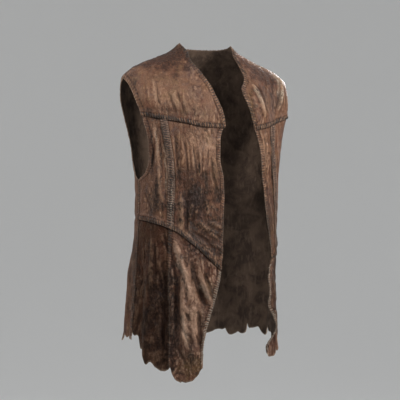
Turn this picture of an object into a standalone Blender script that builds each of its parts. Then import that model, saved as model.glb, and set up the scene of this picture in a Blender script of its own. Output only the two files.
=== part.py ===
"""A sleeveless leather vest of hip length, worn open at the front, as a hollow garment.

Metres, +Z up. The front faces -Y and +X is the wearer's left. The origin is where the wearer's
shoulders carry the vest: midway between them, at the middle height of the shoulder seams.

Every panel lies on one surface, a rounded ring at each height. A point of it has an angle, in
degrees from the front centre towards the wearer's left, and a height. A panel is a lattice of
such points, moved in and out by the folds, and given the thickness of the leather.
"""
from collections import namedtuple
import math

import bpy
import numpy as np

LEATHER = 0.0018            # thickness of the hide
SEAM_GAP = 0.0003           # space between pieces that meet
LAP = 0.012                 # width of the upper piece's margin over the lower piece
LAP_RISE = LEATHER + SEAM_GAP
STRAP_HALF = 0.0085         # half the width of the strap sewn over the long front seam
STRAP_THICK = 0.0015

NECK_HEIGHT = 0.042         # where shoulder seam and neckline meet
TIP_HEIGHT = -0.062         # outer end of the shoulder seam
UNDERARM_HEIGHT = -0.345
NAPE_HEIGHT = 0.034
BODY_RADIUS = 0.19          # mean radius, turns widths along the cloth into angles

RIGHT = -1
LEFT = 1
SIDE_NAMES = {RIGHT: "right", LEFT: "left"}

# Rings of the garment, from the neck down: half its width, its depth before and behind the
# middle, how far the middle is shifted to the side and to the back, and how square the ring is.
Section = namedtuple("Section", "height half_width front back side_shift back_shift squareness")
SECTIONS = (
    Section(0.045, 0.076, 0.012, 0.052, 0.000, 0.010, 2.00),
    Section(0.015, 0.115, 0.042, 0.078, 0.000, 0.010, 2.00),
    Section(-0.003, 0.155, 0.056, 0.090, 0.000, 0.010, 2.00),
    Section(-0.021, 0.200, 0.068, 0.101, 0.000, 0.010, 2.05),
    Section(-0.037, 0.230, 0.080, 0.109, 0.000, 0.010, 2.10),
    Section(-0.062, 0.254, 0.097, 0.118, 0.000, 0.010, 2.15),
    Section(-0.110, 0.255, 0.121, 0.130, 0.000, 0.008, 2.20),
    Section(-0.170, 0.241, 0.136, 0.137, 0.000, 0.005, 2.25),
    Section(-0.260, 0.221, 0.139, 0.138, 0.000, 0.000, 2.30),
    Section(-0.345, 0.212, 0.135, 0.132, 0.000, 0.000, 2.30),
    Section(-0.460, 0.210, 0.130, 0.125, -0.003, 0.000, 2.30),
    Section(-0.600, 0.215, 0.142, 0.140, -0.009, 0.000, 2.25),
    Section(-0.750, 0.219, 0.158, 0.154, -0.016, 0.000, 2.20),
    Section(-0.930, 0.226, 0.172, 0.164, -0.020, 0.000, 2.20),
)

# Lines that run down the garment: an angle from the front centre at each height.
Down = namedtuple("Down", "height angle")
FRONT_EDGE = {
    RIGHT: (
        Down(0.042, 90.0), Down(0.036, 66.0), Down(0.020, 44.0), Down(-0.004, 29.0),
        Down(-0.038, 15.5), Down(-0.072, 10.5), Down(-0.108, 7.3), Down(-0.150, 4.6),
        Down(-0.195, 3.4), Down(-0.212, 6.2), Down(-0.240, 8.3), Down(-0.289, 8.0),
        Down(-0.345, 5.2), Down(-0.440, 4.0), Down(-0.530, 4.2), Down(-0.598, 5.8),
        Down(-0.650, 9.5), Down(-0.700, 13.4), Down(-0.750, 17.4), Down(-0.800, 19.8),
        Down(-0.850, 20.7), Down(-0.930, 21.0),
    ),
    LEFT: (
        Down(0.042, 90.0), Down(0.036, 64.0), Down(0.020, 42.0), Down(-0.001, 27.5),
        Down(-0.031, 19.5), Down(-0.065, 16.5), Down(-0.094, 12.2), Down(-0.143, 15.8),
        Down(-0.202, 20.3), Down(-0.260, 25.9), Down(-0.358, 31.7), Down(-0.439, 37.2),
        Down(-0.530, 44.5), Down(-0.575, 47.5), Down(-0.620, 40.0), Down(-0.655, 42.0),
        Down(-0.690, 40.5), Down(-0.735, 47.0), Down(-0.762, 50.0), Down(-0.785, 44.0),
        Down(-0.808, 36.0), Down(-0.930, 37.0),
    ),
}
LONG_SEAM = {
    RIGHT: (
        Down(-0.150, 46.6), Down(-0.224, 47.0), Down(-0.300, 46.2), Down(-0.470, 46.0),
        Down(-0.536, 46.0), Down(-0.850, 44.5), Down(-0.930, 44.5),
    ),
    LEFT: (
        Down(-0.150, 36.5), Down(-0.259, 40.5), Down(-0.350, 47.0), Down(-0.450, 54.0),
        Down(-0.550, 59.0), Down(-0.700, 61.0), Down(-0.930, 61.0),
    ),
}
ARMHOLE_FRONT = (
    Down(-0.062, 90.0), Down(-0.080, 77.0), Down(-0.125, 68.5), Down(-0.175, 66.0),
    Down(-0.227, 65.2), Down(-0.262, 66.0), Down(-0.298, 68.5), Down(-0.328, 76.0),
    Down(-0.345, 90.0),
)
ARMHOLE_BACK = (
    Down(-0.062, 90.0), Down(-0.080, 101.0), Down(-0.125, 109.0), Down(-0.175, 112.0),
    Down(-0.227, 113.0), Down(-0.262, 112.5), Down(-0.298, 109.5), Down(-0.328, 102.0),
    Down(-0.345, 90.0),
)
SIDE_SEAM = {
    RIGHT: (Down(-0.345, 90.0), Down(-0.600, 89.0), Down(-0.930, 88.0)),
    LEFT: (Down(-0.345, 90.0), Down(-0.600, 93.0), Down(-0.930, 95.0)),
}

# Lines that run across the garment: a height at each angle from the front centre.
Across = namedtuple("Across", "angle height")
YOKE_SEAM = {
    RIGHT: (
        Across(0.0, -0.203), Across(21.0, -0.199), Across(32.0, -0.189), Across(45.0, -0.181),
        Across(60.0, -0.171), Across(90.0, -0.162),
    ),
    LEFT: (
        Across(14.0, -0.206), Across(22.0, -0.203), Across(34.0, -0.192), Across(48.0, -0.176),
        Across(60.0, -0.165), Across(90.0, -0.156),
    ),
}
WAIST_SEAM = {
    RIGHT: (
        Across(0.0, -0.604), Across(6.6, -0.587), Across(22.5, -0.536), Across(33.0, -0.506),
        Across(41.0, -0.485), Across(65.0, -0.460), Across(90.0, -0.452),
    ),
    LEFT: (
        Across(20.0, -0.615), Across(40.0, -0.592), Across(50.0, -0.570), Across(60.0, -0.535),
        Across(75.0, -0.490), Across(96.0, -0.452),
    ),
}
HEM = {
    RIGHT: (
        Across(18.0, -0.842), Across(21.0, -0.855), Across(23.5, -0.870), Across(27.5, -0.886),
        Across(34.0, -0.892), Across(39.0, -0.885), Across(44.5, -0.858), Across(51.5, -0.862),
        Across(56.0, -0.852), Across(60.0, -0.838), Across(64.0, -0.846), Across(70.0, -0.812),
        Across(76.0, -0.803), Across(82.0, -0.772), Across(90.0, -0.782),
    ),
    LEFT: (
        Across(34.0, -0.812), Across(38.0, -0.838), Across(44.0, -0.840), Across(52.0, -0.822),
        Across(60.0, -0.800), Across(67.0, -0.812), Across(78.0, -0.790), Across(96.0, -0.782),
    ),
}
# The back hem is worn to uneven tails: how far each place hangs below the line between the sides.
Tail = namedtuple("Tail", "angle drop")
BACK_TAILS = (
    Tail(95.0, 0.000), Tail(102.0, 0.016), Tail(112.0, -0.006), Tail(124.0, 0.014),
    Tail(136.0, 0.022), Tail(147.0, 0.002), Tail(160.0, 0.018), Tail(171.0, 0.010),
    Tail(182.0, 0.028), Tail(193.0, 0.006), Tail(206.0, 0.020), Tail(219.0, 0.014),
    Tail(230.0, -0.004), Tail(242.0, 0.017), Tail(253.0, 0.003), Tail(262.0, 0.010),
    Tail(272.0, 0.000),
)

# Folds. Each runs from one place to another, fades at both ends, and pushes the leather out
# by its rise, or in where the rise is negative. Open folds keep their size down to the hem.
Fold = namedtuple("Fold", "top_angle top_height low_angle low_height width rise open_end")
FOLDS = (
    # right front, shoulder to yoke seam
    Fold(-62.0, -0.030, -52.0, -0.215, 0.020, 0.0040, False),
    Fold(-45.0, -0.020, -38.0, -0.230, 0.022, -0.0045, False),
    Fold(-30.0, -0.030, -27.0, -0.240, 0.024, 0.0045, False),
    # right front, chest and waist
    Fold(-20.0, -0.230, -30.0, -0.470, 0.026, 0.0050, False),
    Fold(-34.0, -0.240, -40.0, -0.450, 0.020, -0.0040, False),
    Fold(-12.0, -0.400, -36.0, -0.480, 0.018, -0.0040, False),
    Fold(-58.0, -0.280, -60.0, -0.520, 0.020, 0.0050, False),
    Fold(-4.0, -0.560, -26.0, -0.640, 0.020, -0.0050, False),
    # right skirt
    Fold(-36.0, -0.500, -23.0, -0.860, 0.030, 0.0080, True),
    Fold(-10.0, -0.600, -17.0, -0.760, 0.020, 0.0060, False),
    Fold(-50.0, -0.540, -52.0, -0.900, 0.026, -0.0130, True),
    Fold(-63.0, -0.480, -63.0, -0.880, 0.026, 0.0100, True),
    Fold(-78.0, -0.500, -76.0, -0.860, 0.024, -0.0100, True),
    # left front
    Fold(24.0, -0.050, 31.0, -0.210, 0.020, 0.0060, False),
    Fold(40.0, -0.040, 44.0, -0.230, 0.022, -0.0045, False),
    Fold(62.0, -0.040, 55.0, -0.230, 0.022, 0.0045, False),
    Fold(48.0, -0.240, 58.0, -0.480, 0.024, 0.0050, False),
    Fold(72.0, -0.330, 70.0, -0.560, 0.024, -0.0050, False),
    Fold(40.0, -0.560, 60.0, -0.620, 0.018, -0.0050, False),
    Fold(50.0, -0.600, 52.0, -0.880, 0.022, 0.0070, True),
    Fold(70.0, -0.520, 73.0, -0.880, 0.026, -0.0100, True),
    # back, upper part and waist
    Fold(118.0, -0.140, 140.0, -0.330, 0.026, 0.0050, False),
    Fold(242.0, -0.140, 222.0, -0.350, 0.026, 0.0055, False),
    Fold(150.0, -0.060, 158.0, -0.300, 0.026, -0.0045, False),
    Fold(208.0, -0.060, 200.0, -0.320, 0.026, -0.0045, False),
    Fold(120.0, -0.400, 172.0, -0.470, 0.022, -0.0055, False),
    Fold(240.0, -0.420, 192.0, -0.490, 0.022, -0.0055, False),
    # back skirt, hanging in flutes
    Fold(102.0, -0.500, 100.0, -0.880, 0.026, 0.0110, True),
    Fold(118.0, -0.520, 117.0, -0.880, 0.026, -0.0120, True),
    Fold(135.0, -0.480, 133.0, -0.880, 0.028, 0.0120, True),
    Fold(152.0, -0.540, 150.0, -0.880, 0.026, -0.0110, True),
    Fold(169.0, -0.500, 168.0, -0.880, 0.028, 0.0100, True),
    Fold(187.0, -0.560, 186.0, -0.880, 0.026, -0.0120, True),
    Fold(204.0, -0.480, 205.0, -0.880, 0.028, 0.0130, True),
    Fold(222.0, -0.530, 224.0, -0.880, 0.026, -0.0110, True),
    Fold(239.0, -0.500, 241.0, -0.880, 0.026, 0.0110, True),
    Fold(256.0, -0.540, 257.0, -0.880, 0.024, -0.0110, True),
)
FOLD_FADE = 0.35            # share of a fold's length over which it fades at an end
TAIL_GROWTH = 3.0           # the back's rows take up the shape of its hem late, near the hem

# Steps across each panel and down each stretch between seams.
CENTRE_STEPS = 7
SIDE_STEPS = 4
YOKE_STEPS = 10
CHEST_STEPS = 9
UNDER_STEPS = 5
SKIRT_STEPS = 15
BACK_STEPS_SHOULDER = 8
BACK_STEPS_NECK = 8
BACK_STEPS_UP = 16
PATH_POINTS = 240           # places that a line is measured at
SETTLING_ROUNDS = 30        # rounds in which a row's angles and heights settle on each other
NORMAL_TURN = 0.5           # degrees and metres to each side, between which a slope is read
NORMAL_RISE = 0.001
SHARP_EDGE = 50.0           # degrees; the cut edges of the hide stay sharp
HIDE_ROUGHNESS = 0.48

BROWN = (0.110, 0.062, 0.042, 1.0)
DARK_BROWN = (0.085, 0.048, 0.034, 1.0)
STRAP_BROWN = (0.070, 0.040, 0.029, 1.0)


def columns(table):
    """The table's columns as arrays, sorted by the first one."""
    rows = np.array(sorted(table), dtype=float)
    return rows.T


def smooth(table, at, column=1):
    """Read a column of a table at the places given, by cubic steps that never overshoot."""
    data = columns(table)
    places = data[0]
    values = data[column]
    width = np.diff(places)
    slope = np.diff(values) / width
    turn = np.zeros_like(places)
    same_way = slope[:-1] * slope[1:] > 0.0
    mean = 2.0 * slope[:-1] * slope[1:] / np.where(same_way, slope[:-1] + slope[1:], 1.0)
    turn[1:-1] = np.where(same_way, mean, 0.0)
    turn[0] = slope[0]
    turn[-1] = slope[-1]
    at = np.clip(at, places[0], places[-1])
    cell = np.clip(np.searchsorted(places, at) - 1, 0, len(width) - 1)
    t = (at - places[cell]) / width[cell]
    start = (1.0 + 2.0 * t) * (1.0 - t) ** 2 * values[cell]
    end = t ** 2 * (3.0 - 2.0 * t) * values[cell + 1]
    lean = t * (1.0 - t) ** 2 * turn[cell] - t ** 2 * (1.0 - t) * turn[cell + 1]
    return start + end + lean * width[cell]


def fold_height(angle, height):
    """Sum of the folds: a bell across each one, fading towards its ends."""
    total = np.zeros_like(angle)
    for fold in FOLDS:
        across = np.radians(fold.low_angle - fold.top_angle) * BODY_RADIUS
        down = fold.low_height - fold.top_height
        length = math.hypot(across, down)
        turned = (angle - fold.top_angle + 180.0) % 360.0 - 180.0
        u = np.radians(turned) * BODY_RADIUS
        v = height - fold.top_height
        along = (u * across + v * down) / length ** 2
        aside = (v * across - u * down) / length
        fade = np.clip(along / FOLD_FADE, 0.0, 1.0)
        if not fold.open_end:
            fade = fade * np.clip((1.0 - along) / FOLD_FADE, 0.0, 1.0)
        fade = fade ** 2 * (3.0 - 2.0 * fade)
        total += fold.rise * fade * np.exp(-(aside / fold.width) ** 2)
    return total


def ring_point(angle, height):
    """A point of the plain garment: a rounded ring whose size depends on the height."""
    size = {}
    for column, name in enumerate(Section._fields[1:], start=1):
        size[name] = smooth(SECTIONS, height, column)
    sine = np.sin(np.radians(angle))
    cosine = np.cos(np.radians(angle))
    power = size["squareness"]
    reach = (np.abs(sine) ** power + np.abs(cosine) ** power) ** (-1.0 / power)
    depth = np.where(cosine >= 0.0, size["front"], size["back"])
    x = size["side_shift"] + size["half_width"] * reach * sine
    y = size["back_shift"] - depth * reach * cosine
    return np.stack([x, y, height + 0.0 * angle], axis=-1)


def outward(point, angle, height):
    """Unit normals of a surface given as a function of angle and height."""
    sideways = point(angle + NORMAL_TURN, height) - point(angle - NORMAL_TURN, height)
    upward = point(angle, height + NORMAL_RISE) - point(angle, height - NORMAL_RISE)
    normal = np.cross(sideways, upward)
    return normal / np.linalg.norm(normal, axis=-1, keepdims=True)


def cloth_point(angle, height):
    """A point of the folded garment's inner face."""
    plain = ring_point(angle, height)
    push = fold_height(angle, height)
    return plain + outward(ring_point, angle, height) * push[..., None]


def lattice(angle, height, rise=0.0):
    """Points of the inner face and the way out from it, lifted by rise where a piece laps."""
    normal = outward(cloth_point, angle, height)
    base = cloth_point(angle, height)
    return base + normal * np.asarray(rise)[..., None], normal


def drawn_in(points, edge):
    """Pull one edge of a lattice back from its seam by half the gap."""
    views = {
        "first_row": (points[0], points[1]),
        "last_row": (points[-1], points[-2]),
        "first_column": (points[:, 0], points[:, 1]),
        "last_column": (points[:, -1], points[:, -2]),
    }
    line, neighbour = views[edge]
    way = neighbour - line
    line += way / np.linalg.norm(way, axis=-1, keepdims=True) * SEAM_GAP / 2.0


def panel(name, angle, height, rise, thickness, colour, seams=()):
    """One cut piece: its inner and outer faces on the lattice and the cut edge round them."""
    inner, normal = lattice(angle, height, rise)
    outer = inner + normal * thickness
    for edge in seams:
        drawn_in(inner, edge)
        drawn_in(outer, edge)
    rows, cols = angle.shape
    index = np.arange(rows * cols).reshape(rows, cols)
    corner = (index[:-1, :-1], index[:-1, 1:], index[1:, 1:], index[1:, :-1])
    corner = [place.ravel() for place in corner]
    halves = (
        np.stack([corner[0], corner[1], corner[2]], axis=1),
        np.stack([corner[0], corner[2], corner[3]], axis=1),
    )
    inside = np.concatenate(halves)
    outside = inside[:, ::-1] + rows * cols
    border = np.concatenate([
        index[0, :-1], index[:-1, -1], index[-1, :0:-1], index[:0:-1, 0],
    ])
    following = np.roll(border, -1)
    rim = np.concatenate([
        np.stack([following, border, border + rows * cols], axis=1),
        np.stack([following, border + rows * cols, following + rows * cols], axis=1),
    ])
    faces = np.concatenate([inside, outside, rim])
    points = np.concatenate([inner.reshape(-1, 3), outer.reshape(-1, 3)])
    first, second, third = (points[faces[:, k]] for k in range(3))
    if np.einsum("ij,ij->", first, np.cross(second, third)) < 0.0:
        faces = faces[:, ::-1]
    mesh = bpy.data.meshes.new(name)
    mesh.from_pydata(points.tolist(), [], faces.tolist())
    mesh.update()
    mesh.shade_smooth()
    mesh.set_sharp_from_angle(angle=math.radians(SHARP_EDGE))
    mesh.materials.append(leather(name, colour))
    piece = bpy.data.objects.new(name, mesh)
    bpy.context.scene.collection.objects.link(piece)
    return piece


def leather(name, colour):
    """Aged leather with a dull shine."""
    material = bpy.data.materials.new(name + "_leather")
    material.use_nodes = True
    shader = material.node_tree.nodes["Principled BSDF"]
    shader.inputs["Base Color"].default_value = colour
    shader.inputs["Roughness"].default_value = HIDE_ROUGHNESS
    shader.inputs["Metallic"].default_value = 0.0
    return material


def outer_angle(side, height):
    """The front's outer line: the armhole above the underarm, the side seam below it."""
    arm = smooth(ARMHOLE_FRONT, height)
    seam = smooth(SIDE_SEAM[side], height)
    return np.where(height > UNDERARM_HEIGHT, arm, seam)


def column_angles(side, height):
    """Angles of the front's columns: front edge, strap edge, long seam, strap edge, side."""
    strap = math.degrees(STRAP_HALF / BODY_RADIUS)
    edge = smooth(FRONT_EDGE[side], height)
    seam = smooth(LONG_SEAM[side], height)
    side_line = outer_angle(side, height)
    shares = np.linspace(0.0, 1.0, CENTRE_STEPS + 1)
    centre = [edge + (seam - strap - edge) * share for share in shares]
    shares = np.linspace(0.0, 1.0, SIDE_STEPS + 1)
    outer = [seam + strap + (side_line - seam - strap) * share for share in shares]
    return centre + [seam] + outer


SEAM_COLUMN = CENTRE_STEPS + 1      # index of the long seam's column
FRONT_COLUMNS = SEAM_COLUMN + SIDE_STEPS + 2


def level_lines(side):
    """Functions of the angle that give the heights of the front's level lines, top to hem."""
    def yoke(angle):
        return smooth(YOKE_SEAM[side], angle)

    def waist(angle):
        return smooth(WAIST_SEAM[side], angle)

    def hem(angle):
        return smooth(HEM[side], angle)

    return (
        lambda angle: yoke(angle) + LAP,
        yoke,
        lambda angle: waist(angle) + LAP,
        waist,
        hem,
    )


def chest_shares(side):
    """Rows between yoke seam and waist lap, with one of them at the underarm."""
    lines = level_lines(side)
    top = lines[1](ARMHOLE_FRONT[3].angle)
    low = lines[2](SIDE_SEAM[side][0].angle)
    underarm = float((top - UNDERARM_HEIGHT) / (top - low))
    upper = np.linspace(0.0, underarm, CHEST_STEPS + 1)
    lower = np.linspace(underarm, 1.0, UNDER_STEPS + 1)
    return np.concatenate([upper, lower[1:]])


def front_lattice(side):
    """Angles and heights of the front below the yoke, and the row of each level line."""
    lines = level_lines(side)
    stretches = (
        np.array([0.0, 1.0]),
        chest_shares(side),
        np.array([0.0, 1.0]),
        np.linspace(0.0, 1.0, SKIRT_STEPS + 1),
    )
    plan = []
    marks = [0]
    for number, shares in enumerate(stretches):
        chosen = shares if number == 0 else shares[1:]
        plan.extend((number, share) for share in chosen)
        marks.append(len(plan) - 1)
    rows = []
    for number, share in plan:
        height = np.full(FRONT_COLUMNS, UNDERARM_HEIGHT)
        for _ in range(SETTLING_ROUNDS):
            angle = np.array([
                line[k] for k, line in enumerate(column_angles(side, height))
            ])
            top = lines[number](angle)
            low = lines[number + 1](angle)
            height = (height + top + (low - top) * share) / 2.0
        rows.append((angle, height))
    angle = np.array([row[0] for row in rows])
    height = np.array([row[1] for row in rows])
    underarm_row = marks[1] + CHEST_STEPS
    height[underarm_row, -1] = UNDERARM_HEIGHT
    angle[underarm_row, -1] = 90.0
    return angle, height, marks, underarm_row


def seen_from_front(path):
    """Side position and height of each angle and height of a path."""
    return np.stack([ring_point(path[..., 0], path[..., 1])[..., 0], path[..., 1]], axis=-1)


def angle_at(place, behind):
    """The angle of the ring point with this side position and height, before or behind."""
    sizes = [smooth(SECTIONS, place[..., 1], column) for column in (1, 4, 6)]
    half_width, side_shift, power = sizes
    sine = np.clip((place[..., 0] - side_shift) / half_width, -1.0, 1.0)
    cosine = (1.0 - np.abs(sine) ** power) ** (1.0 / power)
    angle = np.degrees(np.arctan2(sine, -cosine if behind else cosine))
    return np.where(angle < 0.0, angle + 360.0, angle) if behind else angle


def even_steps(path, count):
    """Places at even steps along a path of angles and heights, measured on the garment."""
    points = ring_point(path[:, 0], path[:, 1])
    steps = np.linalg.norm(np.diff(points, axis=0), axis=1)
    run = np.concatenate([[0.0], np.cumsum(steps)])
    wanted = np.linspace(0.0, run[-1], count)
    return np.stack([np.interp(wanted, run, path[:, k]) for k in range(2)], axis=1)


def four_sided(top, low, first, last, count, behind=False):
    """Angles and heights of a patch between four paths.

    The patch is blended between its sides as they are seen from the front, and each of its
    columns is then cut into even steps along the garment.
    """
    top, low, first, last = (seen_from_front(path) for path in (top, low, first, last))
    t = np.linspace(0.0, 1.0, len(first))[:, None, None]
    s = np.linspace(0.0, 1.0, len(top))[None, :, None]
    ruled = (1.0 - t) * top[None] + t * low[None]
    sides = (1.0 - s) * first[:, None] + s * last[:, None]
    corners = (1.0 - s) * ((1.0 - t) * top[0] + t * low[0])
    corners = corners + s * ((1.0 - t) * top[-1] + t * low[-1])
    place = ruled + sides - corners
    patch = np.stack([angle_at(place, behind), place[..., 1]], axis=-1)
    return np.stack([even_steps(column, count) for column in patch.swapaxes(0, 1)], axis=1)


def down_path(table, start, end):
    """A line down the garment from a start height to an end height, closer at its start."""
    height = start + (end - start) * np.linspace(0.0, 1.0, PATH_POINTS) ** 2
    return np.stack([smooth(table, height), height], axis=1)


def shoulder_path(count):
    """The shoulder seam from neck to tip, at the side of the rings."""
    height = np.linspace(NECK_HEIGHT, TIP_HEIGHT, PATH_POINTS)
    return even_steps(np.stack([90.0 + 0.0 * height, height], axis=1), count)


def yoke_lattice(side, margin_angle, margin_height):
    """The front yoke above its sewn margin, between neckline, shoulder seam and armhole."""
    top = shoulder_path(FRONT_COLUMNS)
    low = np.stack([margin_angle, margin_height], axis=1)
    first = down_path(FRONT_EDGE[side], NECK_HEIGHT, margin_height[0])
    last = down_path(ARMHOLE_FRONT, TIP_HEIGHT, margin_height[-1])
    return four_sided(top, low, first, last, YOKE_STEPS + 1)


def build_front(side):
    """All the pieces of one front. Lap margins stand out by the leather that they cover."""
    name = SIDE_NAMES[side]
    angle, height, marks, underarm_row = front_lattice(side)
    yoke = yoke_lattice(side, angle[0], height[0])
    yoke_angle = np.concatenate([yoke[..., 0], angle[1:2]])
    yoke_height = np.concatenate([yoke[..., 1], height[1:2]])
    rise = np.zeros_like(yoke_angle)
    rise[-2:] = LAP_RISE
    panel("front_yoke_" + name, side * yoke_angle, yoke_height, rise, LEATHER, BROWN,
          ("first_row",))

    rise = np.zeros_like(angle)
    rise[marks[2]:marks[3] + 1] = LAP_RISE
    centre = slice(0, SEAM_COLUMN + 1)
    outer = slice(SEAM_COLUMN, FRONT_COLUMNS)
    body = slice(0, marks[3] + 1)
    panel("centre_front_" + name, side * angle[body, centre], height[body, centre],
          rise[body, centre], LEATHER, BROWN, ("last_column",))
    panel("side_front_" + name, side * angle[body, outer], height[body, outer],
          rise[body, outer], LEATHER, DARK_BROWN, ("first_column", "last_column"))

    skirt = slice(marks[2], marks[4] + 1)
    flat = np.zeros_like(rise)
    panel("centre_skirt_" + name, side * angle[skirt, centre], height[skirt, centre],
          flat[skirt, centre], LEATHER, BROWN, ("last_column",))
    panel("side_skirt_" + name, side * angle[skirt, outer], height[skirt, outer],
          flat[skirt, outer], LEATHER, DARK_BROWN, ("first_column", "last_column"))

    strip = slice(SEAM_COLUMN - 1, SEAM_COLUMN + 2)
    sewn = slice(marks[1], marks[3] + 1)
    panel("seam_strap_" + name, side * angle[sewn, strip], height[sewn, strip],
          rise[sewn, strip] + LAP_RISE, STRAP_THICK, STRAP_BROWN, ("first_row",))
    return angle[underarm_row:, -1], height[underarm_row:, -1]


def back_lattice(sides):
    """The back: rows shared with both side seams, then a patch up to shoulders and nape."""
    left_angle, left_height = sides[LEFT]
    right_angle, right_height = sides[RIGHT]
    cols = 2 * BACK_STEPS_SHOULDER + BACK_STEPS_NECK + 1
    share = np.linspace(0.0, 1.0, cols)
    angle = left_angle[:, None] * (1.0 - share) + (360.0 - right_angle[:, None]) * share
    height = left_height[:, None] * (1.0 - share) + right_height[:, None] * share
    down = (left_height - left_height[0]) / (left_height[-1] - left_height[0])
    down = down[:, None]
    height = height - smooth(BACK_TAILS, angle) * down ** TAIL_GROWTH

    seam = shoulder_path(BACK_STEPS_SHOULDER + 1)[::-1]
    turn = np.linspace(90.0, 270.0, 361)
    dip = (1.0 - np.abs((turn - 180.0) / 90.0) ** 3) * (NECK_HEIGHT - NAPE_HEIGHT)
    neck = even_steps(np.stack([turn, NECK_HEIGHT - dip], axis=1), BACK_STEPS_NECK + 1)
    other = seam[::-1].copy()
    other[:, 0] = 270.0
    top = np.concatenate([seam, neck[1:-1], other])
    arm = down_path(ARMHOLE_BACK, TIP_HEIGHT, UNDERARM_HEIGHT)
    other_arm = arm.copy()
    other_arm[:, 0] = 360.0 - arm[:, 0]
    low = np.stack([angle[0], height[0]], axis=1)
    upper = four_sided(top, low, arm, other_arm, BACK_STEPS_UP + 1, behind=True)
    return (np.concatenate([upper[:-1, :, 0], angle]),
            np.concatenate([upper[:-1, :, 1], height]))


def build():
    """Clear the scene, then build both fronts and the back that joins them."""
    for thing in list(bpy.data.objects):
        bpy.data.objects.remove(thing)
    sides = {side: build_front(side) for side in (RIGHT, LEFT)}
    angle, height = back_lattice(sides)
    panel("back", angle, height, np.zeros_like(angle), LEATHER, BROWN,
          ("first_column", "last_column", "first_row"))


build()
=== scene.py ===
"""The looks of an aged leather vest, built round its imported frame.

Metres, +Z up. The front faces -Y and +X is the wearer's left. The hide lies on one surface, a
rounded ring at each height. A place on it has an angle, in degrees from the front centre towards
the wearer's left, and a height. Each cut piece is a fine lattice of such places, moved by folds,
creases and crumples, with a hide face outside, a flesh face inside and a worn edge between them.
"""
from collections import namedtuple
import math

import bpy
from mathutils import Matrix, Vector
import numpy as np


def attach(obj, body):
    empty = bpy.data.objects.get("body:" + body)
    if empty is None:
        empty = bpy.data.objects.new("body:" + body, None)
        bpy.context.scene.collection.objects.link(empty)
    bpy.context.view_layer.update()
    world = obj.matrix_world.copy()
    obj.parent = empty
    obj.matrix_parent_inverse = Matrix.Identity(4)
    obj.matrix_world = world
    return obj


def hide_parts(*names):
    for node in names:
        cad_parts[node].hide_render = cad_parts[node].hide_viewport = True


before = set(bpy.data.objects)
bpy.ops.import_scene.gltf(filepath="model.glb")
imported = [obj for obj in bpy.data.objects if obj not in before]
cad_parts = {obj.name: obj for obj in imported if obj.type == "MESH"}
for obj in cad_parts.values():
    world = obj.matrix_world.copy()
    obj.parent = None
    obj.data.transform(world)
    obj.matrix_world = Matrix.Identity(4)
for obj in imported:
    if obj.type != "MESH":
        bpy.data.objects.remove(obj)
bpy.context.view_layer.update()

BODY = "root"

# Sizes of the cut and of its sewing, as in the part
LEATHER = 0.0018
SEAM_GAP = 0.0003
LAP = 0.012
LAP_RISE = LEATHER + SEAM_GAP
STRAP_HALF = 0.0085
STRAP_THICK = 0.0015
NECK_HEIGHT = 0.042
TIP_HEIGHT = -0.062
UNDERARM_HEIGHT = -0.345
NAPE_HEIGHT = 0.034
NAPE_POINTS = 361
BODY_RADIUS = 0.19
RIGHT = -1
LEFT = 1
SIDE_NAMES = {RIGHT: "right", LEFT: "left"}

# Units of the tables, which are in millimetres and degrees. A line has two ends.
MM = 0.001
DEGREE = 1.0
LINE = (DEGREE, MM, DEGREE, MM)


def scaled(rows, *units):
    """A table's rows as an array, each column multiplied by its unit."""
    return np.array(rows, dtype=float) * units


def each_scaled(tables, *units):
    """The same for tables that are kept under keys."""
    return {key: scaled(rows, *units) for key, rows in tables.items()}


# The rings: height, half width, depth in front and behind, shifts sideways and back, squareness
SECTIONS = scaled((
    (45, 76, 12, 52, 0, 10, 2), (15, 115, 42, 78, 0, 10, 2), (-3, 155, 56, 90, 0, 10, 2),
    (-21, 200, 68, 101, 0, 10, 2.05), (-37, 230, 80, 109, 0, 10, 2.1),
    (-62, 254, 97, 118, 0, 10, 2.15), (-110, 255, 121, 130, 0, 8, 2.2),
    (-170, 241, 136, 137, 0, 5, 2.25), (-260, 221, 139, 138, 0, 0, 2.3),
    (-345, 212, 135, 132, 0, 0, 2.3), (-460, 210, 130, 125, -3, 0, 2.3),
    (-600, 215, 142, 140, -9, 0, 2.25), (-750, 219, 158, 154, -16, 0, 2.2),
    (-930, 226, 172, 164, -20, 0, 2.2),
), MM, MM, MM, MM, MM, MM, 1.0)

# Lines down the garment: pairs of height and angle
FRONT_EDGE = each_scaled({
    RIGHT: (
        (42, 90), (36, 66), (20, 44), (-4, 29), (-38, 15.5), (-72, 10.5), (-108, 7.3),
        (-150, 4.6), (-195, 3.4), (-212, 6.2), (-240, 8.3), (-289, 8), (-345, 5.2), (-440, 4),
        (-530, 4.2), (-598, 5.8), (-650, 9.5), (-700, 13.4), (-750, 17.4), (-800, 19.8),
        (-850, 20.7), (-930, 21),
    ),
    LEFT: (
        (42, 90), (36, 64), (20, 42), (-1, 27.5), (-31, 19.5), (-65, 16.5), (-94, 12.2),
        (-143, 15.8), (-202, 20.3), (-260, 25.9), (-358, 31.7), (-439, 37.2), (-530, 44.5),
        (-575, 47.5), (-620, 40), (-655, 42), (-690, 40.5), (-735, 47), (-762, 50), (-785, 44),
        (-808, 36), (-930, 37),
    ),
}, MM, DEGREE)
LONG_SEAM = each_scaled({
    RIGHT: (
        (-150, 46.6), (-224, 47), (-300, 46.2), (-470, 46), (-536, 46), (-850, 44.5),
        (-930, 44.5),
    ),
    LEFT: (
        (-150, 36.5), (-259, 40.5), (-350, 47), (-450, 54), (-550, 59), (-700, 61), (-930, 61),
    ),
}, MM, DEGREE)
ARMHOLE_FRONT = scaled((
    (-62, 90), (-80, 77), (-125, 68.5), (-175, 66), (-227, 65.2), (-262, 66), (-298, 68.5),
    (-328, 76), (-345, 90),
), MM, DEGREE)
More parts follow.
